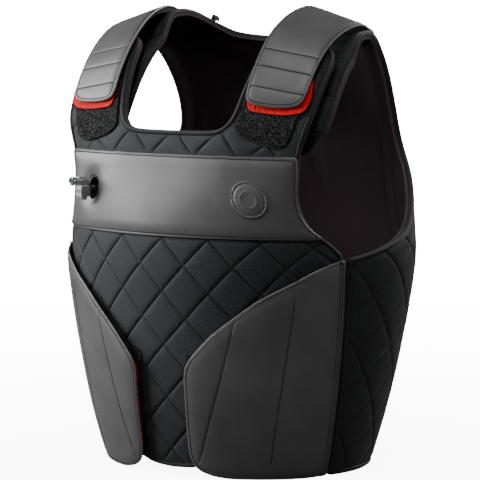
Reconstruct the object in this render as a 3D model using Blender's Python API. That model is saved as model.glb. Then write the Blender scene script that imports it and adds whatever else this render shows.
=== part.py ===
"""Body protector vest: quilted front and back panels, leather straps, side wings and an air valve.

Lengths are in millimetres in the design below and become metres when a mesh is made.
+X is the wearer's left, -Y is the front, +Z is up, and the origin is under the middle of the hem.
"""

import bisect
from math import ceil, cos, pi, radians, sin, tau

import bmesh
import bpy
from mathutils import Matrix, Vector
from mathutils.geometry import delaunay_2d_cdt

MM = 0.001

# Horizontal sections of the panels' outer face, from the hem up to the armpits.
LEVELS = (0, 60, 120, 180, 230, 280, 330)
HALF_WIDTH = (150, 170, 186, 199, 206, 205, 203)
FRONT_DEPTH = (126, 137, 143, 147, 150, 146, 133)
REAR_DEPTH = (128, 136, 143, 148, 152, 151.5, 141)
FRONT_POWER = (2, 2, 2, 2, 2, 2.1, 2.6)
REAR_POWER = (2, 2, 2, 2, 2, 2, 2.1)

# The shoulders start at CHEST and run over the ridge at RIDGE_Y. Over them w counts ARC up to the ridge.
CHEST = 330
SHOULDER_RISE = 170
SHOULDER_SLOPE = 0.30
NECK_HALF = 70
TIP_HALF = 160
DROP_START = 215
RIDGE_Y = 5
ARC = 245
RIDGE = CHEST + ARC
FRONT_FLAT = 0.20
REAR_FLAT = 0.10
TAB_DEPTH = 133
TAB_TURN = 0.10
TAB_STRAIGHT = 0.45

# Panel build-up, as distances inward from the outer face.
SKIN = 1.8
GAP = 0.35
BLADDER_TOP = 4.2
BLADDER_LOW = 5.9
PANEL = 15.0
TONGUE = 10.0
TONGUE_SKIN = 4.0
TONGUE_DROP = 17.5
DIVE_START, DIVE_RUN = 590, 54
THIN_START, THIN_RUN = 560, 90
LINING = 1.4
EDGE = SKIN + 3 * GAP
FOAM_TOP = 7.4
FOAM_START, FOAM_RUN = 470, 60

# Pieces on top of the panels, as distances outward.
BAND = (1.7, 3.1)
BADGE = (3.6, 4.6)
LOOP = (0.7, 1.6)
HOOK = (2.2, 3.4)
STRAP_BACKING = (4.1, 5.6)
STRAP_LEATHER = (6.2, 8.0)
STRAP_SETTLE = 2.6
SETTLE_START, SETTLE_RUN = 500, 60
WING_BACKING = 3.8
WING_SEAM = 5.0
WING_RISE = 4.0
WING_SKIN = 1.8
NOSE_START, NOSE_RUN = 66, 54

BAND_LOW, BAND_HIGH = 257.5, 343
HEM = 0
FLAT_HEM = 45
SEAM_FOOT = (144.0, -43.0, 0.0)
SEAM_TOP = (183.5, -69.0, 242.0)
SEAM_OUT = (0.90, -0.44, 0.0)
STRAP_END_Y = 34
STRAP_END = (161, 139, 117, 96)
HOOK_SHOW = 6

VALVE_X, VALVE_Z = -110, 302
PORT_WIDE, PORT_TALL = 21, 27
CUP_WALL = 1.2
CUP_DEPTH = 12.0

# Lattice steps of the panels' faces, in thirds of a degree across and in millimetres up.
SCALE = 3
FRONT_STEP = (20, 52)
REAR_STEP = (30, 60)
STRAP_STEP = (20, 26)
SHOULDER_ROW = 25

COLORS = {
    "quilt": ((0.020, 0.023, 0.028), 0.85, 0),
    "mesh": ((0.020, 0.014, 0.018), 0.90, 0),
    "foam": ((0.060, 0.060, 0.065), 0.95, 0),
    "bladder": ((0.180, 0.185, 0.190), 0.45, 0),
    "leather": ((0.062, 0.064, 0.068), 0.42, 0),
    "backing": ((0.012, 0.012, 0.013), 0.90, 0),
    "hook": ((0.700, 0.018, 0.012), 0.80, 0),
    "loop": ((0.010, 0.010, 0.011), 0.98, 0),
    "tape": ((0.015, 0.015, 0.016), 0.80, 0),
    "plastic": ((0.010, 0.010, 0.011), 0.35, 0),
    "gunmetal": ((0.120, 0.125, 0.130), 0.28, 1),
    "steel": ((0.600, 0.620, 0.640), 0.22, 1),
}


# ---------------------------------------------------------------- body surface

def along(values, z):
    """Smooth interpolation of one value per level."""
    z = min(max(z, LEVELS[0]), LEVELS[-1])
    k = min(bisect.bisect_right(LEVELS, z) - 1, len(LEVELS) - 2)
    h = LEVELS[k + 1] - LEVELS[k]
    t = (z - LEVELS[k]) / h
    rise = []
    for i in (k, k + 1):
        a, b = max(i - 1, 0), min(i + 1, len(LEVELS) - 1)
        rise.append(h * (values[b] - values[a]) / (LEVELS[b] - LEVELS[a]))
    return ((2 * t**3 - 3 * t**2 + 1) * values[k] + (t**3 - 2 * t**2 + t) * rise[0]
            + (3 * t**2 - 2 * t**3) * values[k + 1] + (t**3 - t**2) * rise[1])


def ease(t):
    """Smooth step from 0 to 1."""
    t = min(max(t, 0), 1)
    return t * t * (3 - 2 * t)


def section(angle, level):
    """(x, y) of the section at a level, at an angle in degrees from the front toward +X."""
    s, c = sin(radians(angle)), cos(radians(angle))
    depth, power = (FRONT_DEPTH, FRONT_POWER) if c >= 0 else (REAR_DEPTH, REAR_POWER)
    n = along(power, level)
    r = ((abs(s) / along(HALF_WIDTH, level)) ** n + (abs(c) / along(depth, level)) ** n) ** (-1 / n)
    return r * s, -r * c


def armpit_y(x, front):
    """Y of the armpit section at x."""
    depth, power, side = (FRONT_DEPTH, FRONT_POWER, -1) if front else (REAR_DEPTH, REAR_POWER, 1)
    flank = max(1 - (abs(x) / HALF_WIDTH[-1]) ** power[-1], 0)
    return side * depth[-1] * flank ** (1 / power[-1])


def droop(x):
    """How far the shoulder line lies below its neck end at x."""
    return SHOULDER_SLOPE * (min(max(abs(x), NECK_HALF), TIP_HALF) - NECK_HALF)


def arch(turn, flat):
    """Rise and reach, each 0 to 1, along a shoulder arc that turns through a right angle."""
    m = flat * cos(turn) ** 2
    s = turn / (pi / 2)
    return (1 - m) * sin(turn) + m * s, (1 - m) * cos(turn) + m * (1 - s)


def torso(angle, w):
    """Point of the body surface. w is the height up to CHEST, then runs over the shoulder."""
    x, y = section(angle, min(w, CHEST))
    if w <= CHEST:
        return x, y, w - droop(x) * ease((w - DROP_START) / (CHEST - DROP_START))
    front = cos(radians(angle)) >= 0
    if w > RIDGE:
        front, w = not front, 2 * RIDGE - w
        y = armpit_y(x, front)
    rise, reach = arch((w - CHEST) / ARC * pi / 2, FRONT_FLAT if front else REAR_FLAT)
    if front:
        y += (TAB_TURN * max(abs(x) - 60, 0) - TAB_DEPTH - y) * ease(rise / TAB_STRAIGHT)
    return x, RIDGE_Y + (y - RIDGE_Y) * reach, CHEST + SHOULDER_RISE * rise - droop(x)


def normal(angle, w):
    """Outward unit normal of the body surface, level at the hem so that its edge is flat."""
    step = 0.5
    u = Vector(torso(angle + step, w)) - Vector(torso(angle - step, w))
    v = Vector(torso(angle, w + step)) - Vector(torso(angle, w - step))
    out = u.cross(v).normalized()
    out.z *= ease(w / FLAT_HEM)
    return out.normalized()


def lift(angle, w, off):
    """Point at a distance off outside the body surface."""
    return Vector(torso(angle, w)) + off * normal(angle, w)


def solve(low, high, above):
    """Bisection for where above() turns true."""
    for _ in range(40):
        mid = (low + high) / 2
        low, high = (low, mid) if above(mid) else (mid, high)
    return (low + high) / 2


def angle_at(x, level, front=True):
    """Angle of the section's point at x."""
    if front:
        angle = solve(0, 89.9, lambda a: section(a, min(level, CHEST))[0] > abs(x))
        return angle if x >= 0 else -angle
    angle = solve(180, 90.1, lambda a: section(a, min(level, CHEST))[0] > abs(x))
    return angle if x >= 0 else 360 - angle


def at(x, z, front=True):
    """(angle, w) of the surface point at x and z on the front or the back."""
    w = solve(0, RIDGE, lambda w: torso(angle_at(x, w, front), w)[2] > z)
    return angle_at(x, w, front), w


def over(x, y):
    """(angle, w), on the front's angles, of the point behind the ridge at x and y."""
    angle = angle_at(x, CHEST)
    return angle, solve(RIDGE, 2 * RIDGE - CHEST, lambda w: torso(angle, w)[1] > y)


def seam(level):
    """Angle of the side seam, which lies in one plane so that a wing can turn about it."""
    foot, top, out = Vector(SEAM_FOOT), Vector(SEAM_TOP), Vector(SEAM_OUT)
    across = (top - foot).cross(out)
    side = 1 if across.dot(Vector((0, -150, 120)) - foot) > 0 else -1
    return solve(50, 89, lambda a: side * across.dot(Vector(torso(a, level)) - foot) < 0)


# ---------------------------------------------------------------- outlines


def curve(points, parts=6):
    """Catmull-Rom points through the given ones, without the last."""
    out = []
    last = len(points) - 1
    for i in range(last):
        p0, p1, p2, p3 = (points[min(max(i + k, 0), last)] for k in (-1, 0, 1, 2))
        for k in range(parts):
            t = k / parts
            out.append(tuple(0.5 * (2 * b + (c - a) * t + (2 * a - 5 * b + 4 * c - d) * t * t
                                    + (3 * b - a - 3 * c + d) * t**3)
                             for a, b, c, d in zip(p0, p1, p2, p3)))
    return out


def outline(*sides, step=26, bend=16):
    """Closed loop of (angle * SCALE, w) from sides that meet at corners, thinned where straight."""
    loop = []
    for side in sides:
        fine = [*curve(side), side[-1]]
        solid = [Vector(torso(a, w)) for a, w in fine]
        run, turned = 0, 0
        loop.append(Vector((fine[0][0] * SCALE, fine[0][1])))
        for k in range(1, len(fine) - 1):
            here, after = solid[k] - solid[k - 1], solid[k + 1] - solid[k]
            run += here.length
            turned += here.angle(after, 0)
            if run > step or turned > radians(bend):
                loop.append(Vector((fine[k][0] * SCALE, fine[k][1])))
                run, turned = 0, 0
    return loop


def mirrored(loop):
    """The loop on the other side of the middle plane, running the same way round."""
    return [Vector((-p.x, p.y)) for p in reversed(loop)]


def inset(loop, distance):
    """The loop moved inward by a distance, point by point."""
    out = []
    for before, here, after in zip(loop[-1:] + loop[:-1], loop, loop[1:] + loop[:1]):
        a, b = (here - before).normalized(), (after - here).normalized()
        na, nb = Vector((-a.y, a.x)), Vector((-b.y, b.x))
        mean = (na + nb).normalized()
        out.append(here + mean * distance / max(mean.dot(na), 0.5))
    return out


def inside(point, loop):
    """Whether a point lies inside a loop."""
    odd = False
    for a, b in zip(loop, loop[1:] + loop[:1]):
        if (a.y > point.y) != (b.y > point.y):
            odd ^= point.x < a.x + (point.y - a.y) / (b.y - a.y) * (b.x - a.x)
    return odd


def distance_to(point, loop):
    """Shortest distance from a point to a loop."""
    best = 1e9
    for a, b in zip(loop, loop[1:] + loop[:1]):
        ab = b - a
        t = min(max((point - a).dot(ab) / max(ab.length_squared, 1e-9), 0), 1)
        best = min(best, (point - a - t * ab).length)
    return best


# ---------------------------------------------------------------- meshes

def material(name):
    """The Principled material of one kind of surface."""
    if name in bpy.data.materials:
        return bpy.data.materials[name]
    color, roughness, metallic = COLORS[name]
    made = bpy.data.materials.new(name)
    made.use_nodes = True
    shader = made.node_tree.nodes["Principled BSDF"]
    shader.inputs["Base Color"].default_value = (*color, 1)
    shader.inputs["Roughness"].default_value = roughness
    shader.inputs["Metallic"].default_value = metallic
    return made


def finish(name, bm, surface, origin=None):
    """Object from a bmesh in millimetres, with its origin at a point such as its joint's axis."""
    bmesh.ops.recalc_face_normals(bm, faces=bm.faces)
    origin = Vector(origin or (0, 0, 0))
    bmesh.ops.transform(bm, matrix=Matrix.Scale(MM, 4) @ Matrix.Translation(-origin), verts=bm.verts)
    mesh = bpy.data.meshes.new(name)
    bm.to_mesh(mesh)
    bm.free()
    mesh.shade_smooth()
    mesh.set_sharp_from_angle(angle=radians(35))
    mesh.materials.append(material(surface))
    obj = bpy.data.objects.new(name, mesh)
    obj.location = origin * MM
    bpy.context.scene.collection.objects.link(obj)
    return obj


def grid(loop, step):
    """Lattice points inside a loop, clear of its edge."""
    wide, tall = step
    xs = [p.x for p in loop]
    rows = [tall * j for j in range(ceil(CHEST / tall))]
    rows += [CHEST + SHOULDER_ROW * j for j in range(int(2 * ARC / SHOULDER_ROW))]
    points = []
    for i in range(ceil(min(xs) / wide), int(max(xs) // wide) + 1):
        for row in rows:
            p = Vector((i * wide, row))
            if inside(p, loop) and distance_to(p, loop) > 0.45 * min(wide, tall):
                points.append(p)
    return points


def face_mesh(bm, loop, step, height):
    """Adds one face of a sheet and returns its rim. height(angle, w) is its distance off the body."""
    edges = [(i, (i + 1) % len(loop)) for i in range(len(loop))]
    points, _, faces = delaunay_2d_cdt(loop + grid(loop, step), edges, [], 1, 1e-4)[:3]
    placed = [bm.verts.new(lift(p.x / SCALE, p.y, height(p.x / SCALE, p.y))) for p in points]
    for face in faces:
        bm.faces.new([placed[i] for i in face])
    return placed[:len(loop)]


def wall(bm, lower, upper):
    """Faces between two rings of vertices."""
    for i in range(len(lower)):
        j = (i + 1) % len(lower)
        bm.faces.new((lower[i], lower[j], upper[j], upper[i]))


def level(value):
    """A height function: the value itself if it is one, or the same distance everywhere."""
    return value if callable(value) else lambda angle, w: value


def slab(name, loop, inner, outer, surface, step=FRONT_STEP, origin=None):
    """Closed sheet that follows the body between two heights."""
    bm = bmesh.new()
    wall(bm, face_mesh(bm, loop, step, level(inner)), face_mesh(bm, loop, step, level(outer)))
    return finish(name, bm, surface, origin)


def tray(name, loop, rim, outer, surface, step=FRONT_STEP):
    """Cover of a panel: a skin whose edge turns inward down to the rim height."""
    bm = bmesh.new()
    rim, outer = level(rim), level(outer)
    small = inset(loop, SKIN)
    top = face_mesh(bm, loop, step, outer)
    under = face_mesh(bm, small, step, lambda a, w: outer(a, w) - SKIN)
    foot, heel = ([bm.verts.new(lift(p.x / SCALE, p.y, rim(p.x / SCALE, p.y))) for p in edge]
                  for edge in (loop, small))
    wall(bm, top, foot)
    wall(bm, foot, heel)
    wall(bm, heel, under)
    return finish(name, bm, surface)


def cylinder(bm, base, axis, radius, length, sides=20, end_radius=None):
    """Adds a closed cylinder or cone from a base point along an axis."""
    turn = Vector((0, 0, 1)).rotation_difference(Vector(axis)).to_matrix().to_4x4()
    centre = Vector(base) + Vector(axis).normalized() * length / 2
    bmesh.ops.create_cone(bm, cap_ends=True, segments=sides, radius1=radius,
                          radius2=radius if end_radius is None else end_radius, depth=length,
                          matrix=Matrix.Translation(centre) @ turn)


def cut(obj, bm):
    """Subtracts a bmesh, in millimetres, from an object."""
    cutter = finish(obj.name + "_cutter", bm, "plastic")
    cutter.hide_render = True
    cutter.display_type = "WIRE"
    modifier = obj.modifiers.new("cut", "BOOLEAN")
    modifier.operation = "DIFFERENCE"
    modifier.object = cutter
    modifier.solver = "EXACT"


def ring(angle_centre, w_centre, wide, tall, sides=16):
    """Oval loop about a surface point."""
    return [Vector((angle_centre * SCALE + wide / 2 * cos(tau * k / sides),
                    w_centre + tall / 2 * sin(tau * k / sides))) for k in range(sides)]


# ---------------------------------------------------------------- panels

def front_loop():
    """Front panel from the hem up to both shoulder tabs."""
    hem = [at(x, z) for x, z in ((0, 7.5), (28, 9.5), (52, 16.5), (95, 17))] + [(seam(16) - 0.5, 16)]
    side = [(seam(z) - 0.5, z) for z in (16, 70, 130, 190, 243)]
    armhole = [side[-1]] + [at(x, z) for x, z in (
        (172, 254), (159, 267), (151, 285), (148, 307), (149, 342),
        (153.5, 360), (158, 377), (160.5, 397), (161.5, 425), (161, 446))]
    tab = [at(x, z) for x, z in ((161, 446), (155, 454), (140, 459), (104, 467), (92, 466), (84, 458))]
    neck = [at(x, z) for x, z in (
        (84, 458), (79, 425), (75, 400), (71, 384), (62, 373), (45, 369.5), (0, 369))]
    half = outline(hem, side, armhole, tab, neck)
    return half + [at_middle(neck[-1])] + [p for p in mirrored(half) if abs(p.x) > 1e-6]


def at_middle(point):
    """The (angle * SCALE, w) point on the middle plane at the same w."""
    return Vector((0, point[1]))


def rear_loop():
    """Back panel from one side seam round to the other, with a tongue over each shoulder."""
    hem = [(180, HEM), (150, HEM), (120, HEM), (90, HEM), (seam(0) + 0.5, HEM)]
    side = [(seam(z) + 0.5, z) for z in (0, 60, 120, 180, 240)]
    armhole = [side[-1], (78, 248), (90, 267), (99, 291)] + [at(x, z, False) for x, z in (
        (174, 318), (153, 352), (148, 385), (149, 420), (152, 452))]
    outer = [armhole[-1], (angle_at(163, CHEST, False), RIDGE)] + [tongue_point(x, z) for x, z in (
        (168, 455), (171, 425), (171, 395), (166, 366), (160, 352))]
    end = [tongue_point(x, z) for x, z in ((160, 352), (149, 342), (104, 342), (94, 350))]
    inner = [tongue_point(x, z) for x, z in ((94, 350), (88, 400), (84, 460))]
    inner += [(angle_at(82, CHEST, False), RIDGE), at(80, 489, False)]
    neck = [inner[-1]] + [at(x, z, False) for x, z in ((73, 479), (60, 471), (31, 467), (0, 466))]
    half = outline(hem, side, armhole, outer, end, inner, neck, step=34)
    turned = [Vector((p.x, p.y)) for p in reversed(half)]
    other = [Vector((360 * SCALE - p.x, p.y)) for p in half]
    middle = Vector((180 * SCALE, neck[-1][1]))
    loop = [p for p in turned if abs(p.x - 180 * SCALE) > 1e-6]
    other = [p for p in other if abs(p.x - 180 * SCALE) > 1e-6]
    return [middle] + loop + [Vector((180 * SCALE, HEM))] + other


def tongue_point(x, z):
    """(angle, w), on the back's angles, of the front point at x and z."""
    return angle_at(x, CHEST, False), 2 * RIDGE - at(x, z)[1]


def rear_top(angle, w):
    """Height of the back panel's outer face: its tongues dive under the front tabs."""
    return -TONGUE_DROP * ease((w - DIVE_START) / DIVE_RUN)


def rear_rim(angle, w):
    """Height of the back panel's inner face."""
    return rear_top(angle, w) - PANEL + (PANEL - TONGUE) * ease((w - THIN_START) / THIN_RUN)


def valve_spot():
    """(angle, w) of the valve's port."""
    return at(VALVE_X, VALVE_Z)


def build_front():
    loop = front_loop()
    cover = tray("front_cover", loop, -PANEL, 0, "quilt")
    core = inset(loop, EDGE)
    chamber = slab("front_bladder", front_bladder_loop(), -BLADDER_LOW, -BLADDER_TOP, "bladder")
    foam = slab("front_foam", core, -PANEL + LINING + GAP, -FOAM_TOP, "foam")
    slab("front_lining", core, -PANEL, -PANEL + LINING, "mesh")
    for piece in (cover, chamber, foam):
        cut(piece, port_prism())


def front_bladder_loop():
    """Air chamber of the front: from the belly up to the chest, between the armholes."""
    low = [at(0, 26), at(60, 30), at(115, 32)]
    side = [at(115, 32), (62, 100), (62, 170), (62, 228), at(146, 246), at(134, 285), at(132, 345)]
    top = [side[-1], at(100, 352), at(0, 352)]
    half = outline(low, side, top)
    return half + [at_middle(top[-1])] + [p for p in mirrored(half) if abs(p.x) > 1e-6]


def build_back():
    loop = rear_loop()
    tray("back_cover", loop, rear_rim, rear_top, "quilt", step=REAR_STEP)
    core = inset(loop, EDGE)

    def foam_top(angle, w):
        rise = (FOAM_TOP - TONGUE_SKIN) * ease((w - FOAM_START) / FOAM_RUN)
        return rear_top(angle, w) - FOAM_TOP + rise

    slab("back_foam", core, lambda a, w: rear_rim(a, w) + LINING + GAP, foam_top, "foam", step=REAR_STEP)
    slab("back_lining", core, rear_rim, lambda a, w: rear_rim(a, w) + LINING, "mesh", step=REAR_STEP)
    slab("back_bladder", bladder_loop(), -BLADDER_LOW, -BLADDER_TOP, "bladder", step=REAR_STEP)


def bladder_loop():
    """Air chamber of the back: from the flanks up between the shoulder blades."""
    low = [(180, 24), (135, 24), (90, 24)]
    side = [(90, 24), (90, 100), (90, 180)]
    corners = ((90, 180), (110, 240), (120, 300), (130, 360))
    slopes = [list(pair) for pair in zip(corners, corners[1:])]
    top = [(130, 360), (155, 360), (180, 360)]
    half = outline(low, side, *slopes, top, step=22)
    turned = [p for p in reversed(half) if abs(p.x - 180 * SCALE) > 1e-6]
    other = [Vector((360 * SCALE - p.x, p.y)) for p in half if abs(p.x - 180 * SCALE) > 1e-6]
    return [Vector((180 * SCALE, top[-1][1]))] + turned + [Vector((180 * SCALE, low[0][1]))] + other


def port_prism():
    """Oval prism that clears the valve's cup through the front panel."""
    at_port, out, side, up = valve_frame()
    wide, tall = (size / 2 + CUP_WALL + GAP for size in (PORT_WIDE, PORT_TALL))
    bm = bmesh.new()
    ends = []
    for depth in (-CUP_DEPTH - GAP, 9):
        middle = at_port + out * depth
        turns = [tau * k / 28 for k in range(28)]
        ends.append([bm.verts.new(middle + side * wide * cos(a) + up * tall * sin(a)) for a in turns])
    wall(bm, *ends)
    for end in ends:
        bm.faces.new(end)
    return bm


def build_band():
    """Leather chest band, with its round badge."""
    edge = [at(x, z) for x, z in (
        (167.5, BAND_LOW + 1.5), (157.5, 268.5), (149.5, 285), (146.5, 307), (147.5, BAND_HIGH))]
    low = [at(x, BAND_LOW) for x in (0, 60, 110)] + [at(160, BAND_LOW), edge[0]]
    high = [at(x, BAND_HIGH) for x in (147.5, 100, 50, 0)]
    half = outline(low, edge, high, step=14)
    loop = half + [at_middle(high[-1])] + [p for p in mirrored(half) if abs(p.x) > 1e-6]
    cut(slab("chest_band", loop, *BAND, "leather"), port_prism())
    slab("badge", ring(*at(101, 298), 42, 42, sides=24), *BADGE, "leather")


def sided(loop, side):
    """A left-hand loop, or its mirror image for the right-hand side."""
    return loop if side == "left" else mirrored(loop)


# ---------------------------------------------------------------- straps

def ridge_point(x):
    """(angle, w) of the shoulder line at x."""
    return angle_at(x, CHEST), RIDGE


def strap_loop():
    """Shoulder strap from its rounded front end over the ridge to the rear hem."""
    hem = [at(x, z) for x, z in (
        (85.5, 405), (88, 399), (95, 395.5), (110, 393), (126, 392), (140, 393), (147.5, 397), (150.5, 406))]
    outer = [hem[-1]] + [at(x, z) for x, z in ((151.5, 435), (152.5, 455), (155, 468))] + [ridge_point(158)]
    end = [over(x, STRAP_END_Y) for x in STRAP_END]
    outer.append(end[0])
    inner = [end[-1], ridge_point(92)]
    inner += [at(x, z) for x, z in ((88, 482), (86, 466), (85.5, 440), (85.5, 405))]
    return outline(hem, outer, end, inner, step=22)


def hook_loop():
    """Hook patch under the strap's front end, which shows below it and at its outer edge."""
    low, out = 392 - HOOK_SHOW, 151 + HOOK_SHOW - 1
    hem = [at(x, z) for x, z in (
        (87, low + 14), (89, low + 7), (96, low + 3), (126, low), (143, low + 1), (out - 4, low + 5),
        (out, low + 15))]
    outer = [hem[-1], at(out, 415), at(149, 432), at(149.5, 455)]
    top = [outer[-1], at(120, 461), at(88, 466)]
    return outline(hem, outer, top, [top[-1], at(87.5, 435), hem[0]], step=22)


def loop_patch_loop():
    """Loop patch on the front tab, under the strap's hook patch."""
    hem = [at(x, z) for x, z in ((78, 371), (92, 361), (122, 353), (132, 354), (138, 360))]
    outer = [hem[-1], at(145, 385), at(147, 420), at(147, 450)]
    top = [outer[-1], at(120, 456), at(91, 460)]
    return outline(hem, outer, top, [top[-1], at(87, 430), at(82, 400), hem[0]], step=22)


def strap_axis():
    """Two points of a strap's hinge line, along the upper edge of its rear hem."""
    return [lift(*over(x, STRAP_END_Y), STRAP_LEATHER[1] + 0.2) for x in STRAP_END[::-3]]


def strap_under(angle, w):
    """Height of the strap backing's inner face: down on the panel behind the front tab's patch."""
    return STRAP_BACKING[0] - STRAP_SETTLE * ease((w - SETTLE_START) / SETTLE_RUN)


def build_strap(side):
    a, b = strap_axis()
    pivot = (a + b) / 2
    if side == "right":
        pivot.x = -pivot.x
    leather = sided(strap_loop(), side)
    slab(f"strap_{side}_leather", leather, *STRAP_LEATHER, "leather", STRAP_STEP, pivot)
    slab(f"strap_{side}_backing", inset(leather, 1.2), strap_under, STRAP_BACKING[1], "backing",
         STRAP_STEP, pivot)
    slab(f"strap_{side}_hook", sided(hook_loop(), side), *HOOK, "hook", STRAP_STEP, pivot)
    slab(f"loop_patch_{side}", sided(loop_patch_loop(), side), *LOOP, "loop", STRAP_STEP)


# ---------------------------------------------------------------- wings

def wing_rise(angle):
    """How much more a wing stands off towards its front edge."""
    return WING_RISE * ease((NOSE_START - abs(angle)) / NOSE_RUN)


def wing_loop():
    """Side wing from its seam to its rounded nose."""
    seam_side = [(seam(z) - 0.3, z) for z in (1, 60, 120, 180, 240)]
    upper = [seam_side[-1]] + [at(x, z) for x, z in (
        (165, 229), (146, 216.5), (112, 196), (89, 178.5), (63.5, 157.5), (42, 135), (33, 122), (30.5, 110))]
    nose = [at(x, z) for x, z in (
        (30.5, 110), (30.5, 80), (30, 54), (30, 28), (35, 13), (48, 5), (66, 1.5))]
    foot = [nose[-1], at(100, 1), seam_side[0]]
    return outline(foot, seam_side, upper, nose)


def wing_axis():
    """Two points of a wing's hinge line, just outside its seam edge."""
    out = Vector(SEAM_OUT).normalized()
    return [lift(seam(z) - 0.3, z, WING_SEAM + GAP + WING_SKIN) + 0.4 * out for z in (1, 240)]


def build_wing(side):
    a, b = wing_axis()
    pivot = (a + b) / 2
    if side == "right":
        pivot.x = -pivot.x
    loop = sided(wing_loop(), side)
    slab(f"wing_{side}_backing", inset(loop, 1.0), WING_BACKING,
         lambda a, w: WING_SEAM + wing_rise(a), "backing", origin=pivot)
    slab(f"wing_{side}_leather", loop, lambda a, w: WING_SEAM + GAP + wing_rise(a),
         lambda a, w: WING_SEAM + GAP + WING_SKIN + wing_rise(a), "leather", origin=pivot)
    hook = outline([at(32.5, 30), at(66, 30)], [at(66, 30), at(66, 126)],
                   [at(66, 126), at(38, 121), at(32.5, 108)], [at(32.5, 108), at(32.5, 30)])
    slab(f"wing_{side}_hook", sided(hook, side), *HOOK, "hook", origin=pivot)
    patch = outline([at(30, 26), at(78, 26)], [at(78, 26), at(78, 134)], [at(78, 134), at(30, 134)],
                    [at(30, 134), at(30, 26)])
    slab(f"wing_patch_{side}", sided(patch, side), *LOOP, "loop")


# ---------------------------------------------------------------- air valve

def valve_frame():
    """Origin on the panel's face, outward, sideways and upward directions of the valve."""
    angle, w = valve_spot()
    out = normal(angle, w)
    out.z = 0
    out.normalize()
    up = Vector((0, 0, 1))
    return Vector(torso(angle, w)), out, up.cross(out), up


def build_valve():
    """Elbow valve in the port: cup, base, block, button with its spring, swivel elbow and mouthpiece."""
    at_port, out, side, up = valve_frame()

    def spot(outward, high=0.0, across=0.0):
        return at_port + out * outward + up * high + side * across

    build_cup(spot, out, side, up)
    base = bmesh.new()
    cylinder(base, spot(-10.2, -3), out, 6.0, 14.8)
    finish("valve_base", base, "plastic")

    block = bmesh.new()
    frame = Matrix((side, out, up)).transposed().to_4x4()
    bmesh.ops.create_cube(block, size=1, matrix=Matrix.Translation(spot(11, -3)) @ frame
                          @ Matrix.Diagonal((12, 12, 11, 1)))
    bmesh.ops.bevel(block, geom=block.edges[:], offset=0.8, segments=2, affect="EDGES")
    block = finish("valve_block", block, "gunmetal")
    bore = bmesh.new()
    cylinder(bore, spot(11, -14), up, 4.2, 14)
    cut(block, bore)

    button = bmesh.new()
    cylinder(button, spot(11, -12.6), up, 3.9, 7.2)
    button.faces.ensure_lookup_table()
    low = min(button.faces, key=lambda f: f.calc_center_median().z)
    bmesh.ops.bevel(button, geom=low.edges[:], offset=1.6, segments=3, affect="EDGES")
    finish("valve_button", button, "gunmetal", origin=spot(11, -12.6))
    stem = bmesh.new()
    cylinder(stem, spot(11, -5.1), up, 0.9, 2.4, sides=12)
    finish("valve_stem", stem, "steel", origin=spot(11, -12.6))
    build_spring(spot(11, -5.0), 4.6)
    build_elbow(spot, out, up)


def build_cup(spot, out, side, up):
    """Oval cup that lines the port."""
    bm = bmesh.new()
    rings = []
    for wide, tall, depth in ((1, 1, 1.6), (1, 1, -CUP_DEPTH), (0, 0, -CUP_DEPTH + CUP_WALL), (0, 0, 1.6)):
        rings.append([])
        for k in range(28):
            turn = tau * k / 28
            across = (PORT_WIDE / 2 + wide * CUP_WALL) * cos(turn)
            high = (PORT_TALL / 2 + tall * CUP_WALL) * sin(turn)
            rings[-1].append(bm.verts.new(spot(depth, high, across)))
    for lower, upper in zip(rings, rings[1:] + rings[:1]):
        if lower is not rings[1]:
            wall(bm, lower, upper)
    bm.faces.new(rings[1])
    bm.faces.new(rings[2])
    finish("valve_cup", bm, "plastic")


def build_spring(foot, height, radius=2.6, wire=0.32, turns=4):
    """Coil spring standing on a point."""
    bm = bmesh.new()
    loops = []
    count = turns * 12
    for k in range(count + 1):
        turn = tau * k / 12
        rise = wire + (height - 2 * wire) * k / count
        centre = foot + Vector((radius * cos(turn), radius * sin(turn), rise))
        away = Vector((cos(turn), sin(turn), 0))
        loops.append([bm.verts.new(centre + wire * (away * cos(a) + Vector((0, 0, sin(a)))))
                      for a in (0, tau / 5, 2 * tau / 5, 3 * tau / 5, 4 * tau / 5)])
    for lower, upper in zip(loops, loops[1:]):
        wall(bm, lower, upper)
    bm.faces.new(loops[0])
    bm.faces.new(loops[-1])
    finish("valve_spring", bm, "steel")


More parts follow.
